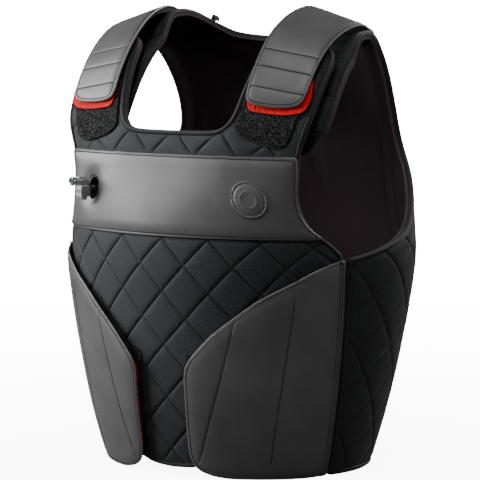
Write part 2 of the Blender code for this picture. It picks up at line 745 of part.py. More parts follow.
def build_elbow(spot, out, up):
    """Elbow that swivels on the block, and the mouthpiece that slides on its neck."""
    swivel = spot(9, 3)
    rise, bend = 1.4, 3.4
    axis_high = rise + bend
    # Reach outward, height, radius and turn in degrees of each ring of the tube.
    path = [(0, 0, 2.9, 0), (0, 0.9, 4.4, 0)]
    path += [(bend * (1 - cos(radians(t))), rise + bend * sin(radians(t)), 4.4, t) for t in (15, 35, 55, 75)]
    neck = ((5, 4.4), (12.6, 4.4), (12.7, 3.6), (17.2, 3.6))
    path += [(reach, axis_high, radius, 90) for reach, radius in neck]
    bm = bmesh.new()
    loops = []
    across = out.cross(up)
    for reach, high, radius, turn in path:
        run = out * sin(radians(turn)) + up * cos(radians(turn))
        lateral = run.cross(across)
        centre = swivel + out * reach + up * (high + GAP)
        turns = [tau * j / 16 for j in range(16)]
        loops.append([bm.verts.new(centre + radius * (across * cos(a) + lateral * sin(a))) for a in turns])
    for lower, upper in zip(loops, loops[1:]):
        wall(bm, lower, upper)
    bm.faces.new(loops[0])
    bm.faces.new(loops[-1])
    elbow = finish("valve_elbow", bm, "gunmetal", origin=swivel)
    bore = bmesh.new()
    cylinder(bore, swivel + out * 8 + up * (axis_high + GAP), out, 2.2, 12, sides=16)
    cut(elbow, bore)

    mouth = bmesh.new()
    start = swivel + up * (axis_high + GAP) + out * 13.1
    rings = []
    for radius, reach in ((4.8, 0), (4.8, 4.6), (4.2, 5.4), (2.4, 5.4), (2.4, 4.6), (3.9, 4.6), (3.9, 0)):
        centre = start + out * reach
        turns = [tau * j / 20 for j in range(20)]
        rings.append([mouth.verts.new(centre + radius * (across * cos(a) + up * sin(a))) for a in turns])
    for lower, upper in zip(rings, rings[1:] + rings[:1]):
        wall(mouth, lower, upper)
    finish("valve_mouthpiece", mouth, "steel", origin=start)


def build_hang_loop():
    """Small tape loop on the neck edge of the back panel, beside the right-hand strap."""
    bm = bmesh.new()
    foot = lift(*at(-78, 480, False), 0.8)
    tilt = normal(*at(-78, 480, False))
    along_edge = Vector((0.8, -0.6, 0)).normalized()
    width = tilt.cross(along_edge).normalized()
    rings = []
    for k in range(9):
        turn = pi * k / 8
        middle = foot + along_edge * 7 * cos(turn) + tilt * (0.8 + 8 * sin(turn))
        away = (along_edge * cos(turn) + tilt * sin(turn)).normalized()
        rings.append([bm.verts.new(middle + away * a * 0.6 + width * b * 3) for a, b in
                      ((1, 1), (1, -1), (-1, -1), (-1, 1))])
    for lower, upper in zip(rings, rings[1:]):
        wall(bm, lower, upper)
    bm.faces.new(rings[0])
    bm.faces.new(rings[-1])
    finish("hang_loop", bm, "tape")


def main():
    for obj in list(bpy.data.objects):
        bpy.data.objects.remove(obj, do_unlink=True)
    build_back()
    build_front()
    build_band()
    for side in ("left", "right"):
        build_strap(side)
        build_wing(side)
    build_valve()
    build_hang_loop()


main()
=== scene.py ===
"""Looks of a quilted body protector vest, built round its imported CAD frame.

Lengths are in millimetres in the design below and become metres when a mesh is made. Each panel is laid out flat on a
chart of the body: u is the arc length round it from the panel's middle, and v is the height, or the run over the
shoulder. Heights are distances outward from the body's surface, which is the CAD panels' outer face.
"""

from math import cos, floor, ceil, pi, radians, sin, sqrt, tau

import bmesh
import bpy
import numpy as np
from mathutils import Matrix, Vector
from mathutils.geometry import delaunay_2d_cdt


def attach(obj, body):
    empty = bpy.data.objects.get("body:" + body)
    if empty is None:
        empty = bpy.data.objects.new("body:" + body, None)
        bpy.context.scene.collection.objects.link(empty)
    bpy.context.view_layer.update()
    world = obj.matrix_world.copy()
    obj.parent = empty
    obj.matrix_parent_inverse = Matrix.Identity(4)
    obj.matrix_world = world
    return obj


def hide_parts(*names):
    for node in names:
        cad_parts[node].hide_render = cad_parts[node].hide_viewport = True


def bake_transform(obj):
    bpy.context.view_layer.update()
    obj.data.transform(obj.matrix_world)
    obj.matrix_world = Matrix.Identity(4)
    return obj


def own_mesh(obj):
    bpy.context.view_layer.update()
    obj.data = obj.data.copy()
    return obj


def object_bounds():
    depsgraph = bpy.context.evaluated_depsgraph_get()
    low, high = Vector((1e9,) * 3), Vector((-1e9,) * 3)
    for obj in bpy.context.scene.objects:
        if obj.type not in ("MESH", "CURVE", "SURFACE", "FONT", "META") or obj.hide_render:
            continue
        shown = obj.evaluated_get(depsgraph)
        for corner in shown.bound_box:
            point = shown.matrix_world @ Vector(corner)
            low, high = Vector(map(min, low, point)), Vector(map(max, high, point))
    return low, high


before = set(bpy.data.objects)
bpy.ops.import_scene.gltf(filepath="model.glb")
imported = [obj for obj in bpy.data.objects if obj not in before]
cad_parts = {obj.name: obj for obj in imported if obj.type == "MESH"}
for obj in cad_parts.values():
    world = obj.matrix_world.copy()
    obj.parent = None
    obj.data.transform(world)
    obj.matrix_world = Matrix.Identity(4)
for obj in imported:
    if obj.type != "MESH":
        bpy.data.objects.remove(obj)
CAD_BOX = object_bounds()
DESIGN_WIDTH = 412.66  # the CAD's width in the design's millimetres
MM = (CAD_BOX[1].x - CAD_BOX[0].x) / DESIGN_WIDTH

# Body surface, as in the CAD: horizontal sections up to the armpits, then arcs over the shoulders.
LEVELS = np.array((0, 60, 120, 180, 230, 280, 330), float)
HALF_WIDTH = (150, 170, 186, 199, 206, 205, 203)
FRONT_DEPTH = (126, 137, 143, 147, 150, 146, 133)
REAR_DEPTH = (128, 136, 143, 148, 152, 151.5, 141)
FRONT_POWER = (2, 2, 2, 2, 2, 2.1, 2.6)
REAR_POWER = (2, 2, 2, 2, 2, 2, 2.1)
CHEST = 330
SHOULDER_RISE = 170
SHOULDER_SLOPE = 0.30
NECK_HALF = 70
TIP_HALF = 160
DROP_START = 215
RIDGE_Y = 5
ARC = 245
RIDGE = CHEST + ARC
FRONT_FLAT = 0.20
REAR_FLAT = 0.10
TAB_DEPTH = 133
TAB_TURN = 0.10
FLAT_HEM = 45
SEAM_FOOT = np.array((144.0, -43.0, 0.0))
SEAM_TOP = np.array((183.5, -69.0, 242.0))
SEAM_OUT = np.array((0.90, -0.44, 0.0))

# Panels and the pieces on them.
PANEL = 15.0
TONGUE = 10.0
TONGUE_DROP = 17.5
DIVE_START, DIVE_RUN = 590, 54
THIN_START, THIN_RUN = 560, 90
EDGE_THICK = 9.0
TAPER = 24.0
QUILT = 40.3
QUILT_LOW = -1.9
QUILT_RISE = 1.35
QUILT_SKIN = 1.3
QUILT_PITCH = 2.9
PUFF_POWER, PUFF_CREASE = 10, 0.3
CHANNEL_POWER, CHANNEL_CREASE = 6, 0.22
CREASE_WIDE = 0.9
COVER_EDGE, COVER_RISE = 0.8, 6  # where the quilting starts to rise from its edge, and over what run
BAND_PRESS, PATCH_PRESS = 6.0, 5.0  # how far the quilting is held down beside pieces sewn on it
PORT_CLEAR = 3.4
BIND_WIDE = 4.6
PITCH = 3.3
CORE_INSET, LINER_INSET = 12, 2.0
FOAM_TOP, FOAM_LOW, FOAM_GAP = -7.2, -7.4, 2.4
LINER_THICK = 1.3
COARSE_GRID, FOAM_GRID, LINER_GRID, LEATHER_GRID, PILE_GRID = 12.0, 14.0, 5.0, 4.0, 1.7
QUILT_THREAD, BINDING_THREAD, LEATHER_THREAD = 0.25, 0.2, 0.15  # how far each thread stands off its surface
BAND_LOW, BAND_HIGH = 257.5, 343
BAND_TOP = 3.1
STRAP_TOP = 8.0
SEWN = 2.7
SUNK = -5.4
STRAP_SINK, STRAP_SINK_RUN = 556, 40
WING_SINK_RUN = 34
LEATHER_RINGS = (0.3, 0.8, 1.4, 2.1, 2.7, 3.3, 4.4)
STRAP_TAIL_Y = 25
STRAP_END = (157, 139, 117, 96)
HOOK_SHOW = 6
WING_TOP = 7.15
LEATHER_SIDE = [(level, -0.3) for level in (1, 60, 120, 180, 240)]
LINING_SIDE = ((1, 1.25), (60, 1.2), (120, 1.15), (180, 1.15), (212, 1.6), (243, 1.75))
WING_RISE = 4.0
WING_SECOND_ROW = 6.5
VALVE_X, VALVE_Z = -110, 302
PORT_WIDE, PORT_TALL = 21, 27
CUP_WALL = 1.2
CUP_DEPTH = 12.0
PLAIN_EDGE, METAL_EDGE = 42, 30  # degrees beyond which an edge is shaded sharp


# ---------------------------------------------------------------- body surface

def ease(t):
    """Smooth step from 0 to 1."""
    t = np.clip(t, 0, 1)
    return t * t * (3 - 2 * t)


def along(values, z):
    """Smooth interpolation of one value per level."""
    values = np.asarray(values, float)
    count = np.arange(len(LEVELS))
    below, above = np.maximum(count - 1, 0), np.minimum(count + 1, len(LEVELS) - 1)
    slope = (values[above] - values[below]) / (LEVELS[above] - LEVELS[below])
    z = np.clip(z, LEVELS[0], LEVELS[-1])
    k = np.clip(np.searchsorted(LEVELS, z, side="right") - 1, 0, len(LEVELS) - 2)
    h = LEVELS[k + 1] - LEVELS[k]
    t = (z - LEVELS[k]) / h
    return ((2 * t**3 - 3 * t**2 + 1) * values[k] + (t**3 - 2 * t**2 + t) * h * slope[k]
            + (3 * t**2 - 2 * t**3) * values[k + 1] + (t**3 - t**2) * h * slope[k + 1])


def section(angle, level):
    """(x, y) of the section at a level, at an angle in degrees from the front toward +X."""
    s, c = np.sin(np.radians(angle)), np.cos(np.radians(angle))
    front = c >= 0
    depth = np.where(front, along(FRONT_DEPTH, level), along(REAR_DEPTH, level))
    n = np.where(front, along(FRONT_POWER, level), along(REAR_POWER, level))
    r = ((np.abs(s) / along(HALF_WIDTH, level)) ** n + (np.abs(c) / depth) ** n) ** (-1 / n)
    return r * s, -r * c


def armpit_y(x, front):
    """Y of the armpit section at x."""
    depth = np.where(front, FRONT_DEPTH[-1], REAR_DEPTH[-1])
    power = np.where(front, FRONT_POWER[-1], REAR_POWER[-1])
    flank = np.maximum(1 - (np.abs(x) / HALF_WIDTH[-1]) ** power, 0)
    return np.where(front, -1, 1) * depth * flank ** (1 / power)


def droop(x):
    """How far the shoulder line lies below its neck end at x."""
    return SHOULDER_SLOPE * (np.clip(np.abs(x), NECK_HALF, TIP_HALF) - NECK_HALF)


def arch(run, front):
    """Rise and reach, each 0 to 1, at a run over the shoulder."""
    turn = np.maximum((run - CHEST) / ARC, 0) * pi / 2
    m = np.where(front, FRONT_FLAT, REAR_FLAT) * np.cos(turn) ** 2
    s = turn / (pi / 2)
    return (1 - m) * np.sin(turn) + m * s, (1 - m) * np.cos(turn) + m * (1 - s)


def height_at(x, w, front):
    """Z of the body surface at x, this side of the ridge."""
    low = w - droop(x) * ease((w - DROP_START) / (CHEST - DROP_START))
    return np.where(w <= CHEST, low, CHEST + SHOULDER_RISE * arch(w, front)[0] - droop(x))


def torso(angle, w):
    """Points of the body surface. w is the height up to CHEST, then runs over the shoulder."""
    angle, w = np.broadcast_arrays(np.asarray(angle, float), np.asarray(w, float))
    x, y = section(angle, np.minimum(w, CHEST))
    front, past = np.cos(np.radians(angle)) >= 0, w > RIDGE
    run = np.where(past, 2 * RIDGE - w, w)
    bent = np.where(past, armpit_y(x, ~front), y)
    front = front ^ past
    rise, reach = arch(run, front)
    tab = bent + (TAB_TURN * np.maximum(np.abs(x) - 60, 0) - TAB_DEPTH - bent) * ease(rise / 0.45)
    bent = np.where(front, tab, bent)
    y = np.where(w <= CHEST, y, RIDGE_Y + (bent - RIDGE_Y) * reach)
    return np.stack([x, y, height_at(x, run, front)], -1)


def normal(angle, w):
    """Outward unit normals of the body surface, level at the hem."""
    step = 0.5
    out = np.cross(torso(angle + step, w) - torso(angle - step, w), torso(angle, w + step) - torso(angle, w - step))
    out /= np.linalg.norm(out, axis=-1, keepdims=True)
    out[..., 2] *= ease(w / FLAT_HEM)
    return out / np.linalg.norm(out, axis=-1, keepdims=True)


def solve(low, high, above, shape):
    """Bisection for where above() turns true."""
    low, high = np.full(shape, float(low)), np.full(shape, float(high))
    for _ in range(40):
        mid = (low + high) / 2
        over_it = above(mid)
        low, high = np.where(over_it, low, mid), np.where(over_it, mid, high)
    return (low + high) / 2


def angle_at(x, w, front=True):
    """Angles of the section's points at x."""
    x, w = np.asarray(x, float), np.minimum(w, CHEST)
    near, far = (0, 89.9) if front else (180, 90.1)
    angle = solve(near, far, lambda a: section(a, w)[0] > np.abs(x), x.shape)
    return np.where(x >= 0, angle, (0 if front else 360) - angle)


def at(points, front=True):
    """(angle, w) of the surface points at each x and z on the front or the back."""
    x, z = np.array(points, float).T
    w = solve(0, RIDGE, lambda w: height_at(x, w, front) > z, x.shape)
    return np.stack([angle_at(x, w, front), w], -1)


def over(points):
    """(angle, w), on the front's angles, of the points behind the ridge at each x and y."""
    x, y = np.array(points, float).T
    angle = angle_at(x, CHEST)
    w = solve(RIDGE, 2 * RIDGE - CHEST, lambda w: torso(angle, w)[..., 1] > y, x.shape)
    return np.stack([angle, w], -1)


def seam(levels):
    """(angle, w) of the side seam at each level."""
    levels = np.array(levels, float)
    across = np.cross(SEAM_TOP - SEAM_FOOT, SEAM_OUT)
    side = np.sign(across @ (np.array((0, -150, 120)) - SEAM_FOOT))
    angle = solve(50, 89, lambda a: side * ((torso(a, levels) - SEAM_FOOT) @ across) < 0, levels.shape)
    return np.stack([angle, levels], -1)


class Chart:
    """Flat coordinates on the body round the middle of the front or of the back."""

    ROW = 5
    REACH = 150

    def __init__(self, middle):
        self.middle = middle
        self.turns = np.linspace(-self.REACH, self.REACH, 4 * self.REACH + 1)
        rows = np.arange(0, CHEST + self.ROW, self.ROW)
        x, y = section(middle + self.turns[None, :], rows[:, None].astype(float))
        arc = np.cumsum(np.hypot(np.diff(x, prepend=x[:, :1]), np.diff(y, prepend=y[:, :1])), axis=1)
        self.arc = arc - arc[:, [len(self.turns) // 2]]
        self.us = np.arange(-560, 561.0)
        self.turn_of = np.array([np.interp(self.us, row, self.turns) for row in self.arc])

    def look_up(self, table, v, column):
        """Bilinear value of a table at heights v and fractional columns."""
        row = np.clip(v, 0, CHEST - 1e-6) / self.ROW
        column = np.clip(column, 0, table.shape[1] - 1.001)
        i, j = row.astype(int), column.astype(int)
        i = np.minimum(i, table.shape[0] - 2)
        s, t = row - i, column - j
        return ((1 - s) * ((1 - t) * table[i, j] + t * table[i, j + 1])
                + s * ((1 - t) * table[i + 1, j] + t * table[i + 1, j + 1]))

    def flat(self, points):
        """(u, v) of points given as (angle, w)."""
        points = np.asarray(points, float)
        angle, w = points[:, 0] - self.middle, points[:, 1]
        return np.stack([self.look_up(self.arc, w, (angle + self.REACH) * 2), w], -1)

    def angle(self, flat):
        """Angles round the body of flat points."""
        return self.middle + self.look_up(self.turn_of, flat[:, 1], flat[:, 0] - self.us[0])

    def place(self, flat, height=0.0):
        """Points in space, in millimetres, at a height over flat points."""
        angle, w = self.angle(flat), flat[:, 1]
        return torso(angle, w) + np.broadcast_to(height, w.shape)[:, None] * normal(angle, w)


FRONT, BACK = Chart(0), Chart(180)


# ---------------------------------------------------------------- flat outlines

def curve(points, parts=12):
    """Catmull-Rom points through the given ones."""
    points = np.asarray(points, float)
    ends = np.concatenate([points[:1], points, points[-1:]])
    t = (np.arange(parts) / parts)[None, :, None]
    a, b, c, d = (ends[k:len(ends) - 3 + k][:, None] for k in range(4))
    run = 0.5 * (2 * b + (c - a) * t + (2 * a - 5 * b + 4 * c - d) * t**2 + (3 * b - a - 3 * c + d) * t**3)
    return np.concatenate([run.reshape(-1, 2), points[-1:]])


def straight(start, end, parts=10):
    """Evenly spaced (x, z) points of a straight line."""
    return np.linspace(start, end, parts + 1)


def resample(line, spacing, closed=True):
    """The line with evenly spaced points."""
    if closed:
        line = np.concatenate([line, line[:1]])
    run = np.concatenate([[0], np.cumsum(np.linalg.norm(np.diff(line, axis=0), axis=1))])
    count = max(int(round(run[-1] / spacing)), 3)
    where = np.linspace(0, run[-1], count + 1)
    made = np.stack([np.interp(where, run, line[:, k]) for k in (0, 1)], -1)
    return made[:-1] if closed else made


def soften(loop, times):
    """The closed loop with its corners rounded."""
    for _ in range(times):
        loop = (np.roll(loop, 1, 0) + 2 * loop + np.roll(loop, -1, 0)) / 4
    return loop


def outline(chart, *sides, mirror=False, spacing=3.0, corners=5):
    """Closed counterclockwise loop of flat points from sides that meet at corners."""
    line = np.concatenate([curve(chart.flat(side))[:-1] for side in sides] + [chart.flat(sides[-1])[-1:]])
    if mirror:
        line = np.concatenate([line, (line * (-1, 1))[::-1][1:-1]])
    else:
        line = line[:-1]
    loop = soften(resample(line, spacing), corners)
    return loop if area(loop) > 0 else loop[::-1]


def area(loop):
    """Signed area of a closed loop, positive if it runs counterclockwise."""
    after = np.roll(loop, -1, 0)
    return 0.5 * np.sum(loop[:, 0] * after[:, 1] - after[:, 0] * loop[:, 1])


def flipped(loop):
    """The loop on the body's other side."""
    return (loop * (-1, 1))[::-1]


def segments(line, closed):
    """Pairs of neighbouring points of a line."""
    return zip(line, np.roll(line, -1, 0)) if closed else zip(line[:-1], line[1:])


def distance(points, line, closed=True):
    """Distances from points to a line."""
    best = np.full(len(points), 1e12)
    for a, b in segments(line, closed):
        ab, ap = b - a, points - a
        t = np.clip(ap @ ab / max(ab @ ab, 1e-12), 0, 1)
        best = np.minimum(best, np.sum((ap - t[:, None] * ab) ** 2, axis=1))
    return np.sqrt(best)


def inside(points, loop):
    """Whether each point lies inside a loop."""
    odd = np.zeros(len(points), bool)
    for a, b in segments(loop, True):
        if a[1] != b[1]:
            crossing = (a[1] > points[:, 1]) != (b[1] > points[:, 1])
            odd ^= crossing & (points[:, 0] < a[0] + (points[:, 1] - a[1]) / (b[1] - a[1]) * (b[0] - a[0]))
    return odd


def outside(points, loop):
    """Signed distances, positive outside the loop."""
    return np.where(inside(points, loop), -1, 1) * distance(points, loop)


def inward(loop):
    """Unit direction into a closed loop at each of its points."""
    run = np.roll(loop, -1, 0) - np.roll(loop, 1, 0)
    run /= np.linalg.norm(run, axis=1, keepdims=True)
    return np.stack([-run[:, 1], run[:, 0]], -1)


def inset(loop, gap, spacing=3.0):
    """The loop moved inward, with what folds over at corners left out."""
    moved = loop + inward(loop) * gap
    kept = moved[distance(moved, loop) > 0.96 * gap]
    return resample(kept, spacing)


def lattice(loop, period, ticks=(0,), turn=0.0, phase=(0.0, 0.0)):
    """Grid of flat points over a loop's extent, with lines at the ticks of each period."""
    c, s = cos(turn), sin(turn)
    local = (loop - phase) @ np.array([[c, -s], [s, c]])
    lines = []
    for k in (0, 1):
        first, last = floor(local[:, k].min() / period), ceil(local[:, k].max() / period)
        lines.append((np.arange(first, last + 1)[:, None] * period + np.array(ticks)[None, :]).ravel())
    grid = np.stack(np.meshgrid(*lines), -1).reshape(-1, 2)
    return grid @ np.array([[c, s], [-s, c]]) + phase


def filling(loop, holes, grid, clear):
    """The grid's points inside a loop and outside its holes, clear of both."""
    keep = inside(grid, loop)
    grid = grid[keep]
    keep = distance(grid, loop) > clear
    for hole in holes:
        keep &= outside(grid, hole) > clear
    return grid[keep]


# ---------------------------------------------------------------- meshes

def make(name, points, faces, look, uv=None, slot=None, body="vest", replaces=(),
         angle=PLAIN_EDGE):
    """Object that rides on a body, from points in millimetres."""
    mesh = bpy.data.meshes.new(name)
    mesh.from_pydata((np.asarray(points) * MM).tolist(), [], [tuple(face) for face in faces])
    if uv is not None:
        layer = mesh.uv_layers.new(name="flat")
        corner = np.zeros(len(mesh.loops), int)
        mesh.loops.foreach_get("vertex_index", corner)
        layer.data.foreach_set("uv", (np.asarray(uv)[corner] / 100).astype(np.float32).ravel())
    mesh.materials.append(LOOKS[look])
    mesh.shade_smooth()
    mesh.set_sharp_from_angle(angle=radians(angle))
    obj = bpy.data.objects.new(name, mesh)
    bpy.context.scene.collection.objects.link(obj)
    if body:
        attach(obj, body)
    if replaces:
        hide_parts(*replaces)
    return obj


def triangulate(loops, extra):
    """Triangles over the area between the first loop and its holes, with the loops' points first."""
    points = np.concatenate([*loops, extra]) if len(extra) else np.concatenate(loops)
    edges, start = [], 0
    for loop in loops:
        edges += [(start + i, start + (i + 1) % len(loop)) for i in range(len(loop))]
        start += len(loop)
    verts, _, faces = delaunay_2d_cdt([Vector(p) for p in points], edges, [], 1, 1e-6)[:3]
    verts, faces = np.array([tuple(v) for v in verts]), np.array(faces)
    a, b, c = (verts[faces[:, k]] for k in range(3))
    turn = (b - a)[:, 0] * (c - a)[:, 1] - (b - a)[:, 1] * (c - a)[:, 0]
    faces = np.where((turn < 0)[:, None], faces[:, ::-1], faces)
    middle, keep = (a + b + c) / 3, np.abs(turn) > 1e-9
    for hole in loops[1:]:
        keep &= ~inside(middle, hole)
    return verts, faces[keep]


def beside(lines, grid, loop):
    """The grid made dense along sewn lines, so that their grooves have points to lie on."""
    for line in lines:
        line = resample(line, 2.4, closed=False)
        run = np.gradient(line, axis=0)
        across = np.stack([-run[:, 1], run[:, 0]], -1) / np.linalg.norm(run, axis=1, keepdims=True)
        tracks = np.concatenate([line + across * gap for gap in (-3.0, -1.6, -0.7, 0, 0.7, 1.6, 3.0)])
        near = distance(grid, line, closed=False) < 3.6
        grid = np.concatenate([grid[~near], tracks])
    keep = inside(grid, loop)
    return grid[keep]


def shell(name, chart, loop, top, bottom, look, top_grid=None, bottom_grid=None, rings=(), round_off=0.0, holes=(),
          lines=(), edge_and_highlight_look=None, **settings):
    """Closed sheet between two height functions of (flat points, distance from the edge)."""
    coarse = lattice(loop, COARSE_GRID)
    sides = []
    if lines:
        top_grid = beside(lines, top_grid, loop)
    rims = [loop, *(hole[::-1] for hole in holes)]
    for height, grid, curled in ((top, top_grid, round_off), (bottom, bottom_grid, 0.0)):
        grid = coarse if grid is None else grid
        bands = [inset(loop, gap) for gap in rings] if curled else []
        clear = (rings[-1] if bands else 0) + 1.2
        verts, faces = triangulate(rims, np.concatenate([*bands, filling(loop, holes, grid, clear)]))
        edge = distance(verts, loop)
        for hole in holes:
            edge = np.minimum(edge, distance(verts, hole))
        lift = height(verts, edge)
        if curled:
            lift = lift - curled + np.sqrt(np.maximum(curled**2 - (curled - np.minimum(edge, curled)) ** 2, 0))
        sides.append((verts, faces, chart.place(verts, lift)))
    (top_flat, top_faces, top_points), (low_flat, low_faces, low_points) = sides
    shift, start, walls = len(top_flat), 0, []
    for rim in rims:
        i = np.arange(len(rim))
        j = (i + 1) % len(rim)
        walls.append(np.stack([start + i + shift, start + j + shift, start + j, start + i], -1))
        start += len(rim)
    faces = [*top_faces.tolist(), *(low_faces[:, ::-1] + shift).tolist(), *np.concatenate(walls).tolist()]
    obj = make(name, np.concatenate([top_points, low_points]), faces, look,
               uv=np.concatenate([top_flat, low_flat]), **settings)
    # The wall faces take the edge look, whose light grey is partly the raw cut edge and partly a painted highlight.
    if edge_and_highlight_look:
        obj.data.materials.append(LOOKS[edge_and_highlight_look])
        for polygon in obj.data.polygons[len(top_faces) + len(low_faces):]:
            polygon.material_index = 1
    return obj


def tube_faces(rows, sides, closed):
    """Faces between neighbouring rings of points. The ends are shut, unless the last ring meets the first."""
    faces = []
    for i in range(rows if closed else rows - 1):
        j = (i + 1) % rows
        for k in range(sides):
            m = (k + 1) % sides
            faces.append((i * sides + k, i * sides + m, j * sides + m, j * sides + k))
    if not closed:
        faces += [tuple(range(sides))[::-1], tuple((rows - 1) * sides + k for k in range(sides))]
    return faces


def tube(name, points, sides, look, closed=False, **settings):
    """Solid through rings of points with the same number of sides."""
    obj = make(name, points, tube_faces(len(points) // sides, sides, closed), look, **settings)
    bm = bmesh.new()
    bm.from_mesh(obj.data)
    bmesh.ops.recalc_face_normals(bm, faces=bm.faces)
    bm.to_mesh(obj.data)
    bm.free()
    return obj


def sweep(name, chart, line, profile, look, base):
    """Strip along a closed flat line. The profile is a ring of (distance inward, height)."""
    inner, rings = inward(line), []
    for gap, height in profile:
        flat = line + inner * gap
        rings.append(chart.place(flat, height + base(flat)))
    points = np.stack(rings, 1).reshape(-1, 3)
    across = np.cumsum([0.0] + [np.hypot(*np.subtract(b, a)) for a, b in zip(profile, profile[1:])])
    run = np.concatenate([[0], np.cumsum(np.linalg.norm(np.diff(line, axis=0), axis=1))])
    uv = np.stack(np.broadcast_arrays(run[:, None], across[None, :]), -1).reshape(-1, 2)
    make(name, points, tube_faces(len(line), len(profile), True), look, uv=uv)


STITCH_SIDES = 4
STITCH_RINGS = ((-0.5, 0.45, -0.42), (-0.3, 1.0, 0.0), (0.3, 1.0, 0.0), (0.5, 0.45, -0.42))  # reach, size, dip
STITCH_SIT = 0.1


def stitches(name, chart, rows, height, length=2.5, radius=0.66, **settings):
    """Thread stitches along rows of (centres, directions), lying on a surface of the given height."""
    centre = np.concatenate([row[0] for row in rows])
    ahead = np.concatenate([row[1] for row in rows])
    lift = height(centre)
    middle = chart.place(centre, lift)
    along_it = chart.place(centre + 0.5 * ahead, lift) - middle
    along_it /= np.linalg.norm(along_it, axis=1, keepdims=True)
    up = chart.place(centre, lift + 1) - middle
    side = np.cross(along_it, up)
    rings = []
    for reach, size, dip in STITCH_RINGS:
        for k in range(STITCH_SIDES):
            turn = tau * k / STITCH_SIDES
            rings.append(middle + along_it * reach * length + up * (dip + radius * size * sin(turn) + STITCH_SIT)
                         + side * radius * size * cos(turn))
    points = np.stack(rings, 1).reshape(-1, 3)
    # These rings run the other way round their axis, so the faces are turned over.
    one = [(face[0], *face[:0:-1]) for face in tube_faces(len(STITCH_RINGS), STITCH_SIDES, False)]
    faces = [tuple(i * len(rings) + v for v in face) for i in range(len(centre)) for face in one]
    return make(name, points, faces, look="thread", **settings)


def row_along(line, pitch, closed=False):
    """Centres and directions of the stitches along a flat line."""
    line = resample(line, pitch, closed)
    after = np.roll(line, -1, 0) if closed else line[1:]
    before = line if closed else line[:-1]
    run = after - before
    return (before + after) / 2, run / np.linalg.norm(run, axis=1, keepdims=True)


def flat_at(height):
    """Height function of a plain face."""
    return lambda flat, edge: np.full(len(flat), height)


def roughly(points, scale, seed=0.0):
    """Smooth pseudo-random waves between about -1 and 1, for the unevenness of hand work."""
    u, v = points[:, 0] / scale + seed, points[:, 1] / scale - seed
    return (np.sin(1.3 * u + 0.7 * v) + np.sin(0.9 * v - 1.7 * u + 1.1) * 0.7 + np.sin(2.1 * v + 2.9) * 0.5) / 2.2


# ---------------------------------------------------------------- materials

LOOKS = {}


class Look:
    """A node material whose shader's sockets take procedural textures."""

    def __init__(self, name, color, roughness, metallic=0.0, **sockets):
        made = bpy.data.materials.new(name)
        made.use_nodes = True
        self.nodes, self.links = made.node_tree.nodes, made.node_tree.links
        self.shader = self.nodes["Principled BSDF"]
        self.color = color
        self.set(self.shader, **{"Base Color": (*color, 1), "Roughness": roughness, "Metallic": metallic}, **sockets)
        self.heights = []
        LOOKS[name] = made

    @staticmethod
    def set(node, **sockets):
        for key, value in sockets.items():
            node.inputs[key].default_value = value

    def add(self, kind, **settings):
        node = self.nodes.new("ShaderNode" + kind)
        for key, value in settings.items():
            setattr(node, key, value)
        return node

    def joined(self, source, output, kind, **sockets):
        """Texture node fed with coordinates."""
        node = self.add(kind)
        self.set(node, **sockets)
        self.links.new(source.outputs[output], node.inputs["Vector"])
        return node

    def noise(self, scale, detail):
        return self.joined(self.add("TexCoord"), "Object", "TexNoise", Scale=scale, Detail=detail).outputs["Fac"]

    def cells(self, scale):
        return self.joined(self.add("TexCoord"), "Object", "TexVoronoi", Scale=scale).outputs["Distance"]

    def wave(self, scale, turn, distortion=0.0):
        """Ribs on the flat pattern, whose unit is 100 mm."""
        turned_pattern = self.joined(self.add("UVMap", uv_map="flat"), "UV", "Mapping", Rotation=(0, 0, turn))
        return self.joined(turned_pattern, "Vector", "TexWave", Scale=scale, Distortion=distortion).outputs["Fac"]

    def ramp(self, factor, stops):
        """Colours between stops of (place, colour)."""
        node = self.add("ValToRGB")
        ramp = node.color_ramp
        for k, (place, color) in enumerate(stops):
            element = ramp.elements[k] if k < 2 else ramp.elements.new(place)
            element.position = place
            element.color = (*color, 1)
        self.links.new(factor, node.inputs["Fac"])
        return node.outputs["Color"]

    def mix(self, a, b):
        node = self.add("Mix", data_type="RGBA")
        node.inputs["Factor"].default_value = 0.5
        self.links.new(a, node.inputs["A"])
        self.links.new(b, node.inputs["B"])
        return node.outputs["Result"]

    def tint(self, factor, low, high, spread=(0.3, 0.7)):
        """Base colour that varies between two multiples of the material's colour."""
        stops = [(spread[k], tuple(c * m for c in self.color)) for k, m in enumerate((low, high))]
        self.links.new(self.ramp(factor, stops), self.shader.inputs["Base Color"])

    def rough(self, factor, low, high):
        """Roughness that varies between two values."""
        node = self.add("MapRange")
        self.set(node, **{"To Min": low, "To Max": high})
        self.links.new(factor, node.inputs["Value"])
        self.links.new(node.outputs["Result"], self.shader.inputs["Roughness"])

    def bump(self, factor, strength, depth):
        """Adds one layer of relief, in metres of depth."""
        node = self.add("Bump")
        self.set(node, Strength=strength, Distance=depth)
        self.links.new(factor, node.inputs["Height"])
        if self.heights:
            self.links.new(self.heights[-1].outputs["Normal"], node.inputs["Normal"])
        self.heights.append(node)
        self.links.new(node.outputs["Normal"], self.shader.inputs["Normal"])


